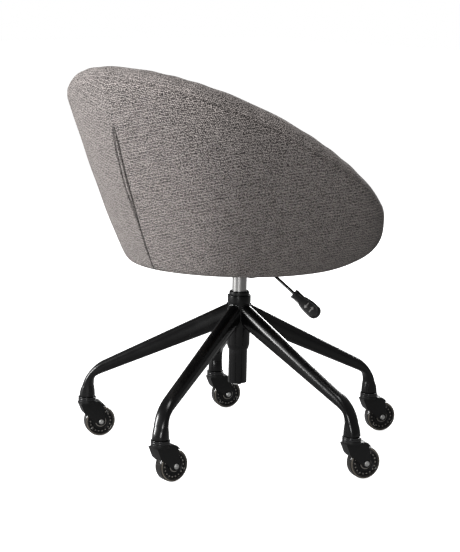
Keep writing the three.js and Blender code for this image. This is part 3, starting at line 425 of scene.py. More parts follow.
def oval(turn):
    """A squarish oval: cosine and sine of the turn, each raised to 0.8 and keeping its sign."""
    return [np.sign(value) * np.abs(value) ** 0.8 for value in (np.cos(turn), np.sin(turn))]


def arm_shell():
    """The arm along +X: at each step an oval spans from the lower edge to the upper."""
    upper, lower, width = arm_edges()
    across, rise = oval(round_turn(40))
    share = (1 + rise)[None, :, None] / 2
    middle = lower[:, None] + (upper - lower)[:, None] * share
    return np.stack([middle[..., 0], across[None] * width[:, None] / 2, middle[..., 1]], -1)


def bead(path, centre, thickness, sides=8):
    """A closed tube along a ring of points, its thickness given at each point.

    Its section lies across the path, turned from the direction away from centre.
    """
    ahead = unit(np.roll(path, -1, 0) - np.roll(path, 1, 0))
    out = path - centre
    out = unit(out - ahead * (out * ahead).sum(1, keepdims=True))
    side = np.cross(ahead, out)
    turn = round_turn(sides)[None, :, None]
    ring = out[:, None] * np.cos(turn) + side[:, None] * np.sin(turn)
    return lattice(path[:, None] + ring * np.reshape(thickness, (-1, 1, 1)), loop=True)


def weld_shell():
    """The weld along +X: a rippled bead where the arm's oval meets the round hub."""
    upper, lower, _ = arm_edges()
    steps, ripples = 144, 36
    across, rise = oval(round_turn(steps))
    y = across * arm_width / 2
    x = np.sqrt((hub_radius + 0.0004) ** 2 - y**2)
    top, low = (edge[0, 1] + (edge[1, 1] - edge[0, 1]) * (x - edge[0, 0]) / (edge[1, 0] - edge[0, 0])
                for edge in (upper, lower))
    path = np.stack([x, y, low + (top - low) * (1 + rise) / 2], -1)
    ripple = 0.0015 + 0.00022 * np.sin(np.arange(steps) * 2 * math.pi * ripples / steps)
    return bead(path, path.mean(0), ripple)


arm, weld = arm_shell(), weld_shell()
legs = [joints[f"castor_swivel_{i}"]["pos_m"] for i in range(1, 6)]
for i, (x, y, _) in enumerate(legs, 1):
    toward = math.atan2(y, x)
    piece = make(f"arm_tube_{i}", lattice(turned_to(arm, toward)),
                 (turned_to(weld[0], toward), weld[1]))
    fit(piece, powder_coat, "base", "powder_coat", f"arm_{i}")

# ---- Column -----------------------------------------------------------------------------------
# The gas spring: a painted outer tube pressed into the hub, a plastic guide bush in its mouth,
# and a ground steel pressure tube that slides in the bush. Inside are the rod and its bearing.

outer_tube = make("outer_column_tube", turned([
    (0.0053, tube_bottom), (tube_radius, tube_bottom), (tube_radius, hub_top),
    (tube_radius - 0.0018, hub_top), (tube_radius - 0.0018, tube_bottom + 0.004),
    (0.0053, tube_bottom + 0.004)], 0.0009))
fit(outer_tube, powder_coat, "base", "powder_coat", "outer_tube")


def tinted(colour, share):
    """A colour with each channel times a share, and full alpha."""
    return tuple(channel * share for channel in colour) + (1,)


def moulded(name, colour, gloss, grain=1900.0):
    """Moulded plastic: a fine sparked grain in the bump, and slightly uneven gloss."""
    plastic = Finish(name, IOR=1.47)
    spark = plastic.cloudy(plastic.place, grain, 2.0)
    flow = plastic.cloudy(plastic.place, 55.0, 4.0)
    return plastic.onto(
        Base_Color=plastic.mixed(flow, tinted(colour, 0.8), tinted(colour, 1.2)),
        Roughness=gloss + 0.12 * flow,
        Normal=plastic.bumped(spark, 0.00004, 0.5))


black_plastic = moulded("black_nylon", (0.005, 0.005, 0.0052), 0.3)
bush_low, bush_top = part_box("guide_bush")
bush = make("column_guide_bush", turned([
    (0.0142, bush_low.z), (0.0159, bush_low.z), (0.0159, hub_top + 0.0003),
    (0.0194, hub_top + 0.0003), (0.0194, bush_top.z - 0.0022), (0.0178, bush_top.z),
    (0.0142, bush_top.z)], 0.0007))
fit(bush, black_plastic, "base", "black_plastic", "guide_bush")


def metal(name, colour, gloss, squeeze=(1, 1, 1), lines=400.0, depth=0.00002):
    """Bare metal with grinding marks: noise squeezed along one direction."""
    steel = Finish(name, Metallic=1.0)
    marks = steel.cloudy(steel.stretched(*squeeze), lines, 3.0)
    stain = steel.cloudy(steel.place, 24.0, 4.0)
    return steel.onto(
        Base_Color=steel.mixed(marks * 0.7 + stain * 0.3, tinted(colour, 0.72), tinted(colour, 1)),
        Roughness=gloss + 0.2 * marks,
        Normal=steel.bumped(marks, depth, 0.7))


ground_steel = metal("ground_steel", (0.72, 0.71, 0.7), 0.24, (0.02, 0.02, 1), 620.0, 0.00012)
zinc = metal("zinc_plate", (0.92, 0.92, 0.9), 0.36, (1, 1, 1), 900.0)
spring_low, spring_top = heights("pressure_tube")
pressure_tube = make("pressure_tube_ground", turned([
    (0, spring_top - 0.009), (0.0028, spring_top - 0.009), (0.0028, spring_top),
    (0.0132, spring_top), (0.014, spring_top - 0.022), (0.014, spring_low), (0.0053, spring_low),
    (0.0053, spring_low + 0.005), (0.0127, spring_low + 0.005), (0.0127, spring_top - 0.017),
    (0, spring_top - 0.017)], 0.0006, 120))
fit(pressure_tube, ground_steel, "seat", "brushed_steel", "pressure_tube")

bump_rubber = moulded("bump_rubber", (0.012, 0.012, 0.012), 0.65, 800.0)
for node in ("thrust_washer_lower", "thrust_cage", "thrust_washer_upper", "piston_rod", "rod_clip",
             "valve_pin", "bump_stop"):
    slots = frame["nodes"][node].data.materials
    slots.clear()
    slots.append(bump_rubber if node == "bump_stop" else zinc)

# ---- Seat plate ---------------------------------------------------------------------------------
# A pressed steel tray bolted to the plywood board under the tub. A turned socket welded into it
# grips the gas spring's taper, and two ears carry the release lever.


def softened(name, node, width):
    """A copy of a CAD node, its flat faces made whole and its edges rolled over by a width."""
    piece = bpy.data.objects.new(name, frame["nodes"][node].data.copy())
    bpy.context.scene.collection.objects.link(piece)
    shape = bmesh.new()
    shape.from_mesh(piece.data)
    bmesh.ops.remove_doubles(shape, verts=shape.verts, dist=1e-5)
    bmesh.ops.dissolve_limit(shape, angle_limit=math.radians(1), verts=shape.verts,
                             edges=shape.edges)
    shape.to_mesh(piece.data)
    shape.free()
    bevel = piece.modifiers.new("rolled_edges", "BEVEL")
    bevel.width, bevel.segments, bevel.limit_method = width, 2, "ANGLE"
    bevel.angle_limit = math.radians(35)
    bevel.use_clamp_overlap = True
    return piece


fit(softened("seat_plate_pressing", "seat_plate", 0.0005), powder_coat,
    "seat", "powder_coat", "seat_plate")
socket_low, socket_top = heights("taper_socket")
plate_floor = heights("seat_plate")[0]
collar = plate_floor - 0.0003
socket = make("taper_socket_turned", turned([
    (0.0143, socket_low), (0.0165, socket_low), (0.0175, socket_low + 0.003),
    (0.02, collar - 0.003), (0.027, collar - 0.003), (0.027, collar), (0.02, collar),
    (0.02, socket_top), (0.0143, socket_top)], 0.0006))
fit(socket, powder_coat, "seat", "powder_coat", "taper_socket")

tray_depth, head_sink = 0.0232, 0.0033
head_low, shank_top = heights("plate_bolt_1")
head_top = plate_floor + tray_depth - head_sink


def hexagon(angle, across):
    """Radius of a hexagon with that width across its flats, at each angle."""
    return across / 2 / np.cos((angle + math.pi / 6) % (math.pi / 3) - math.pi / 6)


def bolt_shell():
    """A hexagon head, domed by a chamfer below, and a round shank: radius by step and angle."""
    sides, across_flats = 48, 0.0111
    angle, ones = round_turn(sides), np.ones(sides)
    flats = hexagon(angle, across_flats)
    radius = np.stack([ones * 1e-6, ones * 0.0046, flats * 0.93, flats, flats, ones * 0.004,
                       ones * 0.004, ones * 1e-6])
    height = [head_low, head_low, head_low + 0.0003, head_low + 0.0011, head_top, head_top,
              shank_top, shank_top]
    return lattice(np.stack([radius * np.cos(angle), radius * np.sin(angle),
                             np.repeat(np.reshape(height, (-1, 1)), sides, 1)], -1), loop=True)


for i in range(1, 5):
    low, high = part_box(f"plate_bolt_{i}")
    points, faces = bolt_shell()
    piece = make(f"plate_screw_{i}", (points + [(low.x + high.x) / 2, (low.y + high.y) / 2, 0], faces))
    fit(piece, zinc, "seat", "zinc_steel", f"plate_bolt_{i}")

# ---- Release lever ------------------------------------------------------------------------------
# A 6 mm rod bent down out of the tray, with a moulded paddle pushed over its end. A cross bar
# rocks in the tray's ears, and the rod's inner end presses the valve pin.
pivot_x, lever_height = joints["lever_lift"]["pos_m"][0], joints["lever_lift"]["pos_m"][2]
lever_slope, rod_radius = math.radians(27.2), 0.003
elbow_reach, tip_reach, paddle_length = 0.064, 0.206, 0.068
elbow = np.array([-elbow_reach, 0, lever_height])
outward = np.array([-math.cos(lever_slope), 0, -math.sin(lever_slope)])
lever_tip = elbow + outward * (tip_reach - elbow_reach) / math.cos(lever_slope)
paddle_start = lever_tip - outward * paddle_length


def tube(path, radius, sides=24):
    """A tube with flat ends along a path that lies in the plane across Y."""
    ahead, side = unit(np.gradient(path, axis=0)), np.array([0.0, 1, 0])
    turn = round_turn(sides)[None, :, None]
    ring = side * np.cos(turn) + np.cross(ahead, side)[:, None] * np.sin(turn)
    return lattice(path[:, None] + ring * np.reshape(radius, (-1, 1, 1)))


rod_line = bezier([elbow + [0.005, 0, 0], elbow, elbow + outward * 0.005], np.linspace(0, 1, 14))
rod_line = np.vstack([[0.012, 0, lever_height], rod_line, paddle_start + outward * 0.0297])


def laid_across(shell, x, z):
    """A body turned about Z, laid along Y with its middle at x and z."""
    points, faces = shell
    return points[:, [0, 2, 1]] + [x, 0, z], faces


bar_radius, bar_half = 0.0032, 0.014
cross_bar = turned([(0, -bar_half), (bar_radius, -bar_half), (bar_radius, bar_half), (0, bar_half)],
                   0.0005, 32)
lever = make("lever_bar", tube(rod_line, [rod_radius]), laid_across(cross_bar, pivot_x, lever_height))
fit(lever, powder_coat, "lever", "powder_coat", "lever_rod")


def pulled_in(outline, depth):
    """A closed outline moved in along the mean of the normals beside each point."""
    ahead = unit(np.roll(outline, -1, 0) - np.roll(outline, 1, 0))
    return outline + np.stack([-ahead[:, 1], ahead[:, 0]], -1) * depth


def slab(outline, low, high, edge, steps=5):
    """An outline, anticlockwise, drawn out from low to high with a quarter round on its edges."""
    quarter = np.linspace(0, math.pi / 2, steps)
    inset = edge * (1 - np.sin(quarter))
    drop = edge * (1 - np.cos(quarter))
    height = np.concatenate([low + drop, high - drop[::-1]])
    rings = [pulled_in(outline, depth) for depth in np.concatenate([inset, inset[::-1]])]
    return np.stack([np.column_stack([ring, np.full(len(ring), z)])
                     for ring, z in zip(rings, height)])


def paddle_outline(grow=0.0):
    """The handle's outline along +X: a parallel neck, a swelling and a round end."""
    neck, paddle, centre = 0.0085 + grow, 0.013 + grow, paddle_length - 0.013
    end = np.linspace(-math.pi / 2, math.pi / 2, 25)
    swell = bezier([(0.02, -neck), (0.028, -paddle), (centre, -paddle)], np.linspace(0, 1, 14))
    tip = np.stack([centre + paddle * np.cos(end), paddle * np.sin(end)], -1)
    half = np.vstack([[(-grow, -neck)], [(0.01, -neck)], swell])
    return np.vstack([half, tip[1:-1], half[::-1] * [1, -1]])


def arrow(centre, way):
    """A block arrow across the paddle, its point towards +Y or -Y."""
    shape = np.array([(-0.0012, -0.0062), (0.0012, -0.0062), (0.0012, 0.0014), (0.0042, 0.0014),
                      (0, 0.0066), (-0.0042, 0.0014), (-0.0012, 0.0014)])
    shape = shape if way > 0 else -shape
    return rounded(shape + [centre, 0], 0.0005, 3)


half_thick = 0.005
body_grid = slab(paddle_outline(), -half_thick, half_thick, 0.0022, 6)
lip_line = rounded(paddle_outline(-0.0032)[1:-1], 0.002, 3)
lip_line = np.column_stack([lip_line, np.full(len(lip_line), -half_thick)])
roll_over = Matrix.Rotation(math.pi - lever_slope, 3, "Y") @ Matrix.Rotation(math.radians(62), 3, "X")


def on_lever(points):
    """Points drawn for a handle along +X, turned down the lever's slope and set on the rod."""
    return points @ np.array(roll_over).T + paddle_start


shells = [lattice(on_lever(body_grid))]
points, faces = bead(lip_line, lip_line.mean(0), np.full(len(lip_line), 0.0006))
shells.append((on_lever(points), faces))
ferrule = slab(rounded([(-0.0004, -0.0091), (0.0035, -0.0091), (0.0035, 0.0091), (-0.0004, 0.0091)],
                       0.0006, 4), -half_thick - 0.0005, half_thick + 0.0005, 0.0006, 4)
shells.append(lattice(on_lever(ferrule)))
fit(make("lever_paddle", *shells), black_plastic, "lever", "black_plastic", "lever_handle")
silver_ink = moulded("silver_ink", (0.2, 0.195, 0.19), 0.35)
arrows = [lattice(on_lever(slab(arrow(centre, way), -half_thick - 0.0005, -half_thick + 0.0006,
                                0.00025, 3))) for centre, way in ((0.038, 1), (0.051, -1))]
fit(make("paddle_arrows", *arrows), silver_ink, "lever", "black_plastic")

# ---- Castors ------------------------------------------------------------------------------------
# A plated stem stands in each leg and swivels in a moulded nylon fork. One wheel with a smoked
# polyurethane tyre runs on a domed bolt through the fork's two cheeks.
wheel_radius, trail, pocket_half, cheek = 0.03, 0.025, 0.0119, 0.003
fork_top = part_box("castor_stem_1")[0].z + 0.016
collar_radius, collar_top = 0.0175, leg_end - 0.0003
fork_half = pocket_half + cheek
black_steel = Finish("black_plated_steel", Roughness=0.16, Coat_Weight=0.6, Coat_Roughness=0.05)
wear = black_steel.cloudy(black_steel.place, 90.0, 5.0)
black_steel = black_steel.onto(
    Base_Color=black_steel.mixed(wear.within(0.55, 0.8), (0.011, 0.011, 0.012, 1),
                                 (0.03, 0.03, 0.031, 1)),
    Roughness=0.12 + 0.14 * wear)
# The tyre turns pale on a thin ring round its shoulder: a painted highlight, standing in for the reflection
# on the glossy tyre.
tyre_clear = Finish("smoked_polyurethane", Coat_Weight=0.7, Coat_Roughness=0.04, IOR=1.5)
haze = tyre_clear.cloudy(tyre_clear.place, 70.0, 4.0)
painted_highlight_mask = tyre_clear.node("ShaderNodeAttribute", {"attribute_name": "shoulder"}, {}, "Fac")
tyre_clear = tyre_clear.onto(
    Base_Color=tyre_clear.mixed(
        painted_highlight_mask * (0.5 + haze * 0.7), (0.012, 0.0105, 0.009, 1), (0.42, 0.37, 0.3, 1)),
    Roughness=0.1 + 0.16 * haze,
    Normal=tyre_clear.bumped(haze, 0.0002, 0.3))
# The studs are black nylon, coloured pale here: painted highlights, standing in for the bright dots that
# glint on the wheel's face.
pale_nylon = moulded("pale_nylon", (0.36, 0.34, 0.31), 0.25)

stem_shell = turned([
    (0, fork_top - 0.016), (0.006, fork_top - 0.016), (0.006, fork_top + 0.0003),
    (collar_radius, fork_top + 0.0003), (collar_radius, collar_top - 0.0036),
    (collar_radius - 0.0007, collar_top - 0.0031), (collar_radius, collar_top - 0.0026),
    (collar_radius, collar_top), (0.0055, collar_top), (0.0055, leg_end + 0.03),
    (0, leg_end + 0.03)], 0.0006, 64)


def on_axle(shell):
    """A body turned about Z, laid along the axle at the fork's trail."""
    return laid_across(shell, trail, wheel_radius)


def about_axle(radius, angle, out):
    """Points at a radius and an angle round the axle, and a distance out along it."""
    return np.stack([trail + radius * np.cos(angle), np.broadcast_to(out, radius.shape),
                     wheel_radius + radius * np.sin(angle)], -1)


def without_doubles(outline):
    """An outline less each point that all but meets the one before it."""
    return outline[np.linalg.norm(outline - np.roll(outline, 1, 0), axis=1) > 2e-5]


def fork_shells():
    """The fork: a collar, two cheeks, and a crown that ends in an arc round the wheel."""
    boss, crown = 0.0085, fork_top - 0.0064
    arc = np.linspace(1.2, 1.97, 14) * math.pi
    front, back_edge = (-0.008, wheel_radius + 0.017), (trail + 0.006, wheel_radius + 0.028)
    top = [(trail + 0.002, fork_top - 0.0045), (trail - 0.003, fork_top - 0.0026),
           (0, fork_top - 0.0026), (-collar_radius + 0.001, crown + 0.0006)]
    foot = np.stack([trail + boss * np.cos(arc), wheel_radius + boss * np.sin(arc)], -1)
    plate = np.vstack([[front], foot, [back_edge], top])
    radii = np.concatenate([[0.004], np.full(14, 1e-6), [0.003, 0.002, 0.002, 1e-6, 1e-6]])
    plate = without_doubles(rounded(plate, radii, 4))
    reach = wheel_radius + 0.002
    over = np.linspace(math.radians(152), math.radians(72), 22)
    hood = np.stack([trail + reach * np.cos(over), wheel_radius + reach * np.sin(over)], -1)
    block = np.vstack([[(-0.0072, wheel_radius + 0.0162)], hood, top])
    radii = np.concatenate([[0.001], np.full(22, 1e-6), [0.002, 0.002, 1e-6, 1e-6]])
    block = without_doubles(rounded(block, radii, 4))
    flat = [slab(plate, pocket_half, fork_half, 0.0009), slab(plate, -fork_half, -pocket_half, 0.0009),
            slab(block, -fork_half + 0.0002, fork_half - 0.0002, 0.0007)]
    shells = [lattice(grid[..., [0, 2, 1]]) for grid in flat]
    shells.append(turned([(0.0063, crown), (collar_radius, crown), (collar_radius, fork_top),
                          (0.0063, fork_top)], 0.0008, 64))
    return shells


def bolt_head_shell(side):
    """The axle's domed head on one side: a low dome with a hexagon socket sunk in it."""
    angle, head_radius = round_turn(48), 0.005
    socket_edge, face = hexagon(angle, 0.0042), fork_half + 0.0003
    share = np.array([1e-4, 1, 1, 0.995, 0.93, 0.8, 0.62])
    radius = np.vstack([share[:, None] * head_radius * np.ones(48), socket_edge, socket_edge * 0.96,
                        socket_edge * 1e-4])
    out = np.array([0, 0, 0.0006, 0.0011, 0.0018, 0.0023, 0.00255, 0.0026, 0.0012, 0.0012]) + face
    return lattice(about_axle(radius, angle, side * out[:, None]))


def wheel_core_shell():
    """The wheel's moulded core: hub, sunk web and rim."""
    half, rim = 0.0105, wheel_radius - 0.0073
    core = [(0.0043, -half), (0.0094, -half), (0.0112, -half + 0.0006), (0.0118, -half + 0.0034),
            (0.0168, -half + 0.0036), (0.0178, -half + 0.0024), (rim, -half + 0.0025)]
    return on_axle(turned(core + [(r, -h) for r, h in core[::-1]], 0.0004, 72))


def stud_shells():
    """A ring of 18 round bosses on each face of the core, each capped by a low dome."""
    shells, ring_radius = [], 0.0205
    cap = np.array([(0.0014, 0.0077), (0.0014, 0.0085), (0.001, 0.0091), (1e-5, 0.0094)])
    for side in (-1, 1):
        for spoke in np.arange(18) * math.pi / 9:
            stud = about_axle(cap[:, :1] * np.ones(10), round_turn(10), side * cap[:, 1:])
            shells.append(lattice(stud + np.array([math.cos(spoke), 0, math.sin(spoke)]) * ring_radius))
    return shells


tyre_shell = on_axle(turned([
    (0.0232, -0.0094), (0.0262, -0.0103), (0.0284, -0.0101), (0.03, -0.0076), (0.03, 0.0076),
    (0.0284, 0.0101), (0.0262, 0.0103), (0.0232, 0.0094)], 0.0012, 120))
ring_shells = [on_axle(turned([(0.0094, side * 0.0103), (0.0109, side * 0.0103),
                               (0.0109, side * 0.0109), (0.0094, side * 0.0109)], 0.0002, 72))
               for side in (-1, 1)]
shank_radius, shank_half = 0.004, fork_half + 0.0006
shank_shell = on_axle(turned([(0, -shank_half), (shank_radius, -shank_half),
                              (shank_radius, shank_half), (0, shank_half)], 0.0002, 48))
castor_pieces = [
    ("castor_stem_collar", [stem_shell], black_steel, "base", "black_steel", "castor_stem"),
    ("castor_nylon_fork", fork_shells(), black_plastic, "castor", "black_plastic", "castor_fork"),
    ("castor_axle_bolt", [shank_shell, bolt_head_shell(-1), bolt_head_shell(1)], zinc,
     "castor", "zinc_steel", "castor_axle"),
    ("castor_wheel_core", [wheel_core_shell()], black_plastic, "wheel", "black_plastic",
     "wheel_core"),
    ("castor_smoked_tyre", [tyre_shell], tyre_clear, "wheel", "smoked_tyre", "wheel_tyre"),
    # The studs' pale colour is a painted highlight.
    ("castor_wheel_studs", stud_shells() + ring_shells, pale_nylon, "wheel", "zinc_steel", None)]


def hump(distance, width):
    """A smooth hump: 1 in the middle, and 1/e at a width from it."""
    return np.exp(-(distance / width) ** 2)


# Where the tyre is painted pale round its shoulder: a painted highlight.
shoulder_radius = 0.0277
from_axle = np.hypot(tyre_shell[0][:, 0] - trail, tyre_shell[0][:, 2] - wheel_radius)
painted_highlight_marks = {"shoulder": hump(from_axle - shoulder_radius, 0.0007)}
for i, leg in enumerate(legs, 1):
    axle = joints[f"wheel_spin_{i}"]["axis"]
    yaw = math.atan2(-axle[0], axle[1])
    for name, shells, material, body, slot, node in castor_pieces:
        piece = make(f"{name}_{i}", *[(turned_to(points, yaw, leg), faces) for points, faces in shells],
                     marks=painted_highlight_marks if node == "wheel_tyre" else None)
        fit(piece, material, body if body == "base" else f"{body}_{i}", slot,
            *([f"{node}_{i}"] if node else []))

# ---- Tub: its curves, and the moulded shell and board inside it ---------------------------------
# The tub is a bowl, low in front and high behind, whose rim is a fat padded roll. A moulded shell
# and a plywood board carry it; each is wrapped in foam and cloth and hidden but for the board.
shell_plastic = moulded("shell_moulding", (0.03, 0.03, 0.03), 0.5)
frame["nodes"]["tub_shell"].data.materials.clear()
frame["nodes"]["tub_shell"].data.materials.append(shell_plastic)
birch = Finish("birch_plywood", Roughness=0.6)
figure = birch.cloudy(birch.stretched(3, 40, 40), 3.0, 6.0)
plies = birch.node("ShaderNodeTexWave", {"wave_type": "BANDS", "bands_direction": "Z"},
                   {"Vector": birch.place, "Scale": 210.0, "Distortion": 0.4})
birch = birch.onto(
    Base_Color=birch.mixed(figure * 0.6 + plies * 0.3, (0.17, 0.1, 0.05, 1), (0.42, 0.29, 0.17, 1)),
    Normal=birch.bumped(figure, 0.0002, 0.4))
fit(softened("plywood_board", "mounting_board", 0.0006), birch, "seat", "plywood", "mounting_board")

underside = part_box("outer_cover")[0].z
deck_rise, deck_inset = 0.057, 0.025
deck_height = underside + deck_rise
roll_radius, seam_turn = 0.0309, math.radians(30)
cover_depth, shell_depth, pad_depth = 0.012, 0.0123, 0.0206


def around(parts, angle):
    """mean + a cos(angle) + b cos(2 angle) + c cos(3 angle), the angle running from the front."""
    return sum(part * np.cos(k * angle) for k, part in enumerate(parts))


def wall(angle):
    """The wall at each angle: its outer and inner curves, the rim's roll, and where that ends.

    Both curves are cubic Beziers of (radius, height). The roll is a half circle set on the outer
    curve's end, leaning with it, and it ends a little early where the rim leans inwards.
    """
    lean = np.radians(around([3.8, -24.2, -19.6], angle))
    up = np.stack([np.sin(lean), np.cos(lean)], -1)
    inward = np.stack([-np.cos(lean), np.sin(lean)], -1)
    level_way, flat = np.array([1.0, 0]), np.full_like(angle, underside)
    sole = np.stack([around([0.2017, -0.0114], angle), flat], -1)
    rim = np.stack([around([0.2959, -0.0426, -0.0018], angle),
                    around([0.551, -0.1345, 0.0254, 0.0066], angle)], -1)
    outer = [sole, sole + around([0.0277, 0.0112], angle)[:, None] * level_way,
             rim - up * around([0.0534, 0.0111], angle)[:, None], rim]
    centre = rim + inward * roll_radius

    def roll(turn):
        turn = np.broadcast_to(turn, (len(angle), np.shape(turn)[-1]))[..., None]
        return centre[:, None] + roll_radius * (up[:, None] * np.sin(turn) - inward[:, None] * np.cos(turn))

    end = math.pi + np.minimum(lean, 0)
    inner_rim = roll(end[:, None])[:, 0]
    in_lean = np.maximum(lean, 0)
    down = -np.stack([np.sin(in_lean), np.cos(in_lean)], -1)
    deck = np.stack([sole[:, 0] - deck_inset, np.full_like(angle, deck_height)], -1)
    inner = [deck, deck + (inner_rim - deck)[:, :1] * 0.5 * level_way,
             inner_rim + down * (inner_rim - deck)[:, 1:] * 0.4, inner_rim]
    return np.array(outer), np.array(inner), roll, end


def inside_wall(outer, inner, share, depth):
    """Points at a share of the wall's height and a depth in from its outer curve."""
    start, stop = bezier(outer, share), bezier(inner, share)
    return start + (stop - start) * depth / np.linalg.norm(stop - start, axis=-1, keepdims=True)


def carried(section, angle):
    """A section of (radius, height) at each angle from the front, as rows up and columns round."""
    radius, height = section[..., 0].T, section[..., 1].T
    return np.stack([-radius * np.sin(angle), -radius * np.cos(angle), height], -1)


def level_at(depth):
    """Height of a layer's flat bottom, for a depth in from the outer surface."""
    return underside + depth * deck_rise / math.hypot(deck_rise, deck_inset)


def lengths(grid, axis):
    """Length along a grid's rows or columns, from the first point."""
    steps = np.linalg.norm(np.diff(grid, axis=axis), axis=-1)
    start = np.zeros_like(np.take(steps, [0], axis))
    return np.cumsum(np.concatenate([start, steps], axis), axis)


def flat_chart(grid, girth, fall=0.0):
    """A grid's cloth laid flat: girth across it, and length up its section less a fall.

    The first row and column are repeated at the end, where the cloth meets itself.
    """
    grid = np.concatenate([grid, grid[:1]], 0)
    up = lengths(np.concatenate([grid, grid[:, :1]], 1), 0)
    return np.stack([np.broadcast_to(girth, up.shape), up - fall], -1)


def drawn_up(angle, count, drift, slow):
    """Uneven waves round the tub: sin(count angle + drift sin(slow angle))."""
    return np.sin(angle * count + drift * np.sin(angle * slow))


# ---- Tub: woven cloth of the outer cover --------------------------------------------------------
# A grey-taupe tweed over 12 mm of foam, cut in two halves that meet in a seam down the middle of
# the back. A concealed zip lies under a narrow placket in that seam, and closes it at the sole.


def woven(name, dark, light, row=0.0031, column=0.0028):
    """Tweed in rows of slubby weft over a finer warp, read from the piece's flat cloth chart.

    Each row is a rounded rib, dotted where the warp crosses it. Every other row is darker, yarns
    change shade along their length, and seams and folds (the mark "fold") are darkest: painted
    shade in their grooves.
    """
    tweed = Finish(name, Roughness=0.95, Sheen_Weight=0.3, Sheen_Roughness=0.5,
                   Sheen_Tint=(0.9, 0.88, 0.86, 1), Specular_IOR_Level=0.15)
    chart = tweed.node("ShaderNodeUVMap", {"uv_map": "cloth"}, {})

    def uneven(across, upward, detail):
        """Noise from 0 to 1 with that many waves to the metre each way of the cloth."""
        return tweed.cloudy(tweed.stretched(across, upward, 1, chart), 1.0, detail)

    def yarns(count):
        """A round hump for each whole count: the size of sin(pi count)."""
        return count.reckon("ABSOLUTE", count.reckon("SINE", count * math.pi))

    along = tweed.node("ShaderNodeSeparateXYZ", {}, {0: chart})
    up = Value(tweed, along.socket.node.outputs[1])
    sway = tweed.cloudy(chart, 70.0, 3.0) - 0.5
    shift = uneven(230.0, 130.0, 1.0) - 0.5
    rows = (up + sway * 0.004) / row
    parity = rows.reckon("FLOOR", rows) % 2.0
    columns = (along + shift * 0.0035) / column + parity * 0.5
    rib, dot = yarns(rows), yarns(columns)
    slub, patch, fleck = uneven(210.0, 380.0, 1.0), uneven(45.0, 80.0, 3.0), uneven(540.0, 520.0, 0.0)
    raised = rib * (0.3 + 0.7 * dot)
    tone = (1.0 * raised + 0.26 * parity + 1.3 * (slub - 0.5) + 3.6 * (fleck - 0.5)
            + 0.8 * (patch - 0.5) - 0.25)
    # The mark darkens the colour in seams and folds: painted shade in their grooves.
    fold = tweed.node("ShaderNodeAttribute", {"attribute_name": "fold"}, {}, "Fac")
    cloth = tweed.mixed(tone.within(-0.1, 0.95), dark, light)
    seam_shade_colour = tweed.mixed(fold, grey(1), (0.05, 0.042, 0.04, 1))
    shade = tweed.node("ShaderNodeMix", {"data_type": "RGBA", "blend_type": "MULTIPLY"},
                       {0: 1.0, 6: cloth, 7: seam_shade_colour}, 2)
    return tweed.onto(Base_Color=shade,
                      Normal=tweed.bumped(raised + 0.8 * slub + 0.3 * fleck, 0.0022, 0.9))


tweed = woven("taupe_tweed", (0.02, 0.0155, 0.015, 1), (0.6, 0.535, 0.51, 1))
placket_top, placket_width = 0.637, 0.0105
seam_angle = np.sort(np.radians(np.concatenate([
    np.linspace(-176, 176, 400), np.linspace(176, 184, 50)[1:-1]])) % (2 * math.pi))
sole_rows, wall_rows, roll_rows = 13, 130, 11


def cover_grid(angle):
    """The cover's section at each angle: underside, wall, edge at the rim's seam, and lining."""
    outer, inner, roll, end = wall(angle)
    out, back_in = np.linspace(0, 1, wall_rows), np.linspace(1, 0, 14)
    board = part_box("mounting_board")[1].x + 0.0003
    low = np.stack([np.full_like(angle, board), np.full_like(angle, underside)], -1)[:, None]
    high = low + [0, level_at(cover_depth) - underside]
    sole = bezier(outer, np.zeros(1))
    wrap = low + (sole - low) * np.linspace(0, 1, sole_rows + 1)[None, :-1, None]
    seam = roll(np.linspace(0, 1, roll_rows + 1)[1:] * seam_turn)
    chord = unit(roll(end[:, None] - seam_turn / 3) - seam[:, -1:])
    tuck = seam[:, -1:] + chord * np.array([0.0004, 0.005, cover_depth - 0.0006])[:, None] - [0, 0.0006]
    lining = inside_wall(outer, inner, back_in, cover_depth - 0.0003)
    section = np.concatenate([wrap, bezier(outer, out), seam, tuck, lining, high], 1)
    return carried(section, angle)


def cover_chart(grid, angle, lean=math.tan(math.radians(15))):
    """The cloth laid flat: arc round the wall, and length up the wall less a share of that arc.

    The grain starts square to the back seam, which leans, and runs level near the front.
    """
    girth = 0.262 * (np.append(angle, 2 * math.pi + angle[0]) - math.pi)
    from_back = np.minimum(np.abs(girth), 0.55)
    return flat_chart(grid, girth, lean * 0.5 * from_back * (1 + np.cos(from_back * 2.2)))


def sunk(grid, depth, rows):
    """The grid with its first rows moved in along their own normals by a depth."""
    across = np.roll(grid, -1, 1) - np.roll(grid, 1, 1)
    moved = grid + unit(np.cross(across, np.gradient(grid, axis=0))) * depth[..., None]
    return np.concatenate([moved[:rows], grid[rows:]], 0)


grid, shown_rows = cover_grid(seam_angle), sole_rows + wall_rows + roll_rows
arc = 0.335 * (seam_angle - math.pi)[None] * (0.55 + 0.45 * (grid[..., 2] - underside) / 0.33)
height = grid[..., 2]
gap = placket_width * (np.clip((placket_top - height) / 0.05, 0, 1) ** 0.5
                       * np.clip((height - 0.45) / 0.07, 0, 1))
zipped = 1 / (1 + np.exp((height - placket_top) / 0.003))
on_wall = 1 / (1 + np.exp((underside + 0.004 - height) / 0.002))
main_seam = hump(arc, 0.0016)
side_fold = hump(arc - gap, 0.0024) * zipped * np.clip(gap / 0.003, 0, 1)
placket = np.exp(-((arc - gap / 2) / (0.3 * gap + 0.001)) ** 4) * zipped * np.clip(gap / 0.004, 0, 1)
rows_left = (shown_rows - np.arange(len(grid)))[:, None]
rim_near = np.clip(1 - rows_left / 26, 0, 1) ** 2
pucker = 0.00045 * drawn_up(seam_angle, 118, 1.5, 17)[None] * rim_near
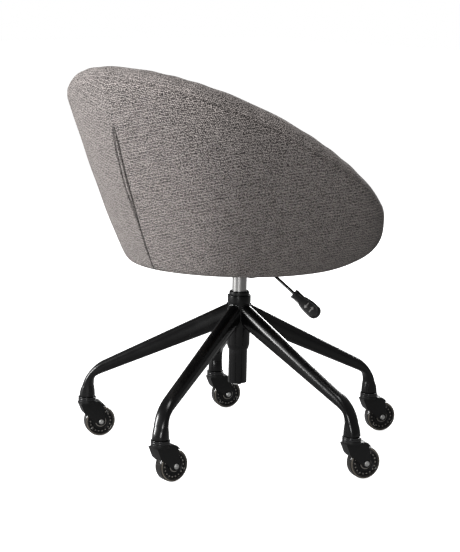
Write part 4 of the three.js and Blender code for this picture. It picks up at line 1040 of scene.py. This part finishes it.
slack = 0.0007 * (np.sin(5 * seam_angle[None] + 9 * height / 0.3)
                  * np.sin(11 * height / 0.3 + 2 * np.cos(3 * seam_angle[None])))
depth = (main_seam * (0.0008 + 0.0016 * zipped) + side_fold * 0.0026 - placket * 0.0007) * on_wall
below_rim = np.clip((rows_left - 12) / 30, 0, 1)
ridge = 0.004 * np.exp(-np.abs(arc) / 0.045) * below_rim
depth = depth + pucker + (0.0002 + slack * below_rim - ridge) * on_wall
# The mark darkens the back seam and the placket's folds: painted shade in their grooves.
crease = np.clip(main_seam * (0.1 + 0.9 * zipped) + side_fold, 0, 1) * on_wall
# The rows at the rim's seam are darkened too: painted shade in that seam.
crease[shown_rows - 2:shown_rows + 3] = 0.2
cover = make("tub_outer_cover", lattice(sunk(grid, depth, shown_rows), loop=True),
             chart=cover_chart(grid, seam_angle), marks={"fold": crease})
fit(cover, tweed, "seat", "upholstery", "outer_cover", crease=70)

# ---- Tub: rolled rim ----------------------------------------------------------------------------
# A long foam roll in its own strip of cloth, sewn round the whole rim. The stitching draws the
# strip into small puckers on both sides, and its ends meet at the back.
rim_angle, girth_scale = round_turn(640), 0.3
curve_rows, chord_rows = 56, 8


def rim_grid(angle):
    """The roll's section at each angle: most of a circle, closed by a chord under it."""
    outer, inner, roll, end = wall(angle)
    turn = seam_turn + (end[:, None] - seam_turn * 4 / 3) * np.linspace(0, 1, curve_rows)
    curve = roll(turn)
    middle = curve.mean(1, keepdims=True)
    curve = middle + (curve - middle) * 0.9985
    across = np.linspace(0, 1, chord_rows + 2)[1:-1, None]
    chord = curve[:, -1:] + (curve[:, :1] - curve[:, -1:]) * across
    return carried(np.concatenate([curve, chord], 1), angle)


grid = rim_grid(rim_angle)
share = np.linspace(0, 1, curve_rows)[:, None]


def by_seams(width):
    """1 on the strip's two sewn edges, fading within a width that is a share of the strip."""
    return hump(share, width) + hump(1 - share, width)


gather = (0.0003 * by_seams(0.09) * (1 + 0.6 * drawn_up(rim_angle, 236, 2, 23))
          + 0.0004 * by_seams(0.035)
          + 0.0005 + 0.0005 * drawn_up(rim_angle, 31, 2, 7) * np.sin(share * math.pi))
joint_line = hump((rim_angle - math.pi) * girth_scale, 0.0016)
# The strip's two sewn edges and its joint at the back are darkened through the mark: painted shade in the
# seams.
crease = np.zeros(grid.shape[:2])
crease[:curve_rows] = np.maximum(np.clip(by_seams(0.03), 0, 1) * 0.15, 0.35 * joint_line)
depth = np.zeros(grid.shape[:2])
depth[:curve_rows] = gather + 0.0012 * joint_line
rim = make("tub_rolled_rim", lattice(sunk(grid, depth, curve_rows), loop=True),
           chart=flat_chart(grid, girth_scale * np.append(rim_angle, 2 * math.pi)),
           marks={"fold": crease})
fit(rim, tweed, "seat", "upholstery", "rim_roll", crease=75)

# ---- Tub: inner pad -----------------------------------------------------------------------------
# The bowl is lined with foam and the same tweed, from the deck under the cushion up to the rim's
# inner seam. The lining is one wrap of cloth with its join at the back.
bowl_rows, outside_rows = 90, 12


def pad_grid(angle):
    """The lining's section at each angle: outside of the shell, the top edge, and the bowl."""
    outer, inner, roll, end = wall(angle)
    lap_share, top = 0.95, np.zeros((len(angle), 1, 2))
    high, up = np.linspace(1, 0, bowl_rows), np.linspace(0, lap_share, outside_rows)
    seam = roll(np.broadcast_to(seam_turn, (1,)))
    inner_seam = roll(end[:, None] - seam_turn / 3)
    chord = unit(inner_seam - seam)
    outside = inside_wall(outer, inner, up, pad_depth + 0.0002)
    lap = inside_wall(outer, inner, np.array([lap_share]), shell_depth + 0.0002)
    edge = [seam + chord * (shell_depth + 0.0004) - [0, 0.0006],
            inner_seam - chord * 0.0006 - [0, 0.0006]]
    roll_on = roll(end[:, None] - seam_turn / 3 * np.linspace(1, 0, 6)[None, :])
    bowl = bezier(inner, high)
    hub_low, hub_high = top + [0, level_at(pad_depth + 0.0002)], top + [0, deck_height]
    deck = hub_high + (bowl[:, -1:] - hub_high) * np.linspace(1, 0, 16)[1:-1, None]
    section = np.concatenate([hub_low, outside, lap, *edge, roll_on[:, 1:-1], bowl, deck, hub_high], 1)
    return carried(section, angle)


pad_angle, girth_scale = round_turn(420), 0.28
grid, lining_start = pad_grid(pad_angle), 1 + outside_rows + 1 + 2 + 4
fall = np.arange(len(grid))[:, None] - lining_start
near_top = hump(np.clip(fall, 0, None), 7.0) * (fall >= -1)
near_deck = hump(fall - (bowl_rows - 6), 9.0)
draw = near_top * (0.0006 + 0.0004 * drawn_up(pad_angle, 118, 1.3, 13))
draw = draw + near_deck * 0.0012 * (1 + 0.5 * drawn_up(pad_angle, 54, 2, 9))
draw = np.where(fall >= 0, draw + 0.0004, 0) * np.ones_like(grid[..., 0])
pad_join = hump((pad_angle - math.pi) * girth_scale, 0.0018) * (fall >= 0) * (fall < bowl_rows)
# The lining's top edge and its join at the back are darkened through the mark: painted shade in the seams.
crease = np.clip(0.2 * (np.abs(fall + 1) <= 2) + 0.4 * pad_join, 0, 1) * np.ones_like(grid[..., 0])
inner_pad = make("tub_inner_lining", lattice(sunk(grid, draw + 0.001 * pad_join, len(grid)), loop=True),
                 chart=flat_chart(grid, girth_scale * np.append(pad_angle, 2 * math.pi)),
                 marks={"fold": crease})
fit(inner_pad, tweed, "seat", "upholstery", "inner_pad", crease=75)

# ---- Seat cushion -------------------------------------------------------------------------------
# A loose foam cushion in a boxed tweed cover, cut to the bowl's plan. The foam swells the cover
# into a low crown between its two welted seams.
cushion_floor, cushion_top = heights("seat_cushion")


def cushion_grid(angle, shrink=0.0045):
    """The cushion before it is filled: a low dome on a boxed border, smaller all round."""
    outer, inner, roll, end = wall(angle)
    share = np.linspace(0, 1, 60)
    bowl = bezier(inner, share)
    level = np.array([0.007, 0.016, 0.023]) + deck_height
    nearest = np.abs(bowl[..., 1][:, :, None] - level).argmin(1)
    side = np.take_along_axis(bowl[..., 0], nearest, 1).min(1) - 0.0045 - shrink
    ones, low = np.ones_like(angle), cushion_floor + 0.0012
    profile = [(1e-5 * ones, low), (0.6 * side, low), (side - 0.014, low), (side - 0.004, low + 0.004),
               (side, low + 0.011), (side, low + 0.016), (side - 0.004, low + 0.0225),
               (side - 0.02, low + 0.0265), (0.75 * side, low + 0.0295), (0.45 * side, low + 0.0312),
               (1e-5 * ones, low + 0.0312)]
    section = np.stack([np.stack([radius, height * ones], -1) for radius, height in profile], 1)
    return carried(section, angle)


def points_of(mesh):
    """A mesh's points, as an array of x, y and z."""
    points = np.empty(len(mesh.vertices) * 3)
    mesh.vertices.foreach_get("co", points)
    return points.reshape(-1, 3)


cushion = make("seat_cushion_padded",
               lattice(cushion_grid(round_turn(120)), loop=True))
bpy.context.view_layer.objects.active = cushion
cushion.select_set(True)
remesh = cushion.modifiers.new("even_skin", "REMESH")
remesh.mode, remesh.voxel_size = "VOXEL", 0.0055
bpy.ops.object.modifier_apply(modifier=remesh.name)
unfilled = filled = points_of(cushion.data)
cloth = cushion.modifiers.new("filling", "CLOTH")
cloth.settings.use_pressure = True
cloth.settings.uniform_pressure_force = 4
cloth.settings.effector_weights.gravity = 0
for frame_number in range(1, 21):
    bpy.context.scene.frame_set(frame_number)
filled = points_of(cushion.evaluated_get(bpy.context.evaluated_depsgraph_get()).data)
cushion.modifiers.remove(cloth)
bpy.context.scene.frame_set(1)
swell, most_swell = filled - unfilled, 0.006
far = np.linalg.norm(swell, axis=1, keepdims=True)
filled = unfilled + swell * np.minimum(1, most_swell / np.maximum(far, 1e-9))
filled[:, 2] = np.clip(filled[:, 2], cushion_floor + 0.0003, cushion_top - 0.0006)
cushion.data.vertices.foreach_set("co", filled.ravel())
finer = cushion.modifiers.new("finer_skin", "SUBSURF")
finer.levels = finer.render_levels = 1
bpy.ops.object.modifier_apply(modifier=finer.name)
skin = points_of(cushion.data)
turn = np.arctan2(-skin[:, 0], -skin[:, 1])
radius = np.hypot(skin[:, 0], skin[:, 1])
stations = np.linspace(-math.pi, math.pi, 73)
edge_of = np.interp(turn, stations, np.array([
    radius[np.abs((turn - at + math.pi) % (2 * math.pi) - math.pi) < 0.06].max() for at in stations]))
upper_line, lower_line = (
    hump(skin[:, 2] - cushion_floor - seam_height, 0.0011) * (radius > edge_of - 0.03)
    for seam_height in (0.0235, 0.0062))
stitched = np.clip(upper_line + lower_line, 0, 1)
dimple = 0.0006 * np.sin(turn * 95) * stitched
skin[:, :2] *= (1 - (0.0016 * stitched + dimple) / np.maximum(radius, 1e-6))[:, None]
dent = 0.002 * hump(radius, 0.11) + 0.0007 * np.sin(skin[:, 0] * 40 + 1) * np.sin(skin[:, 1] * 33)
skin[:, 2] -= np.where(skin[:, 2] > cushion_floor + 0.026, np.abs(dent), 0)
cushion.data.vertices.foreach_set("co", skin.ravel())
# The two stitched seams are darkened through the mark: painted shade along them.
cushion.data.attributes.new("fold", "FLOAT", "POINT").data.foreach_set("value", stitched * 0.7)
corner_vertex = np.empty(len(cushion.data.loops), int)
cushion.data.loops.foreach_get("vertex_index", corner_vertex)
border = (radius > edge_of - 0.008)[:, None]
flat = np.where(border, np.stack([turn * 0.2, skin[:, 2]], -1), skin[:, :2])
cushion.data.uv_layers.new(name="cloth").data.foreach_set("uv", flat[corner_vertex].ravel())
fit(cushion, tweed, "seat", "upholstery", "seat_cushion", crease=75)

# ---- Size of the chair as shown -----------------------------------------------------------------
# The box of the chair as it is shown.
low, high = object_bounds()
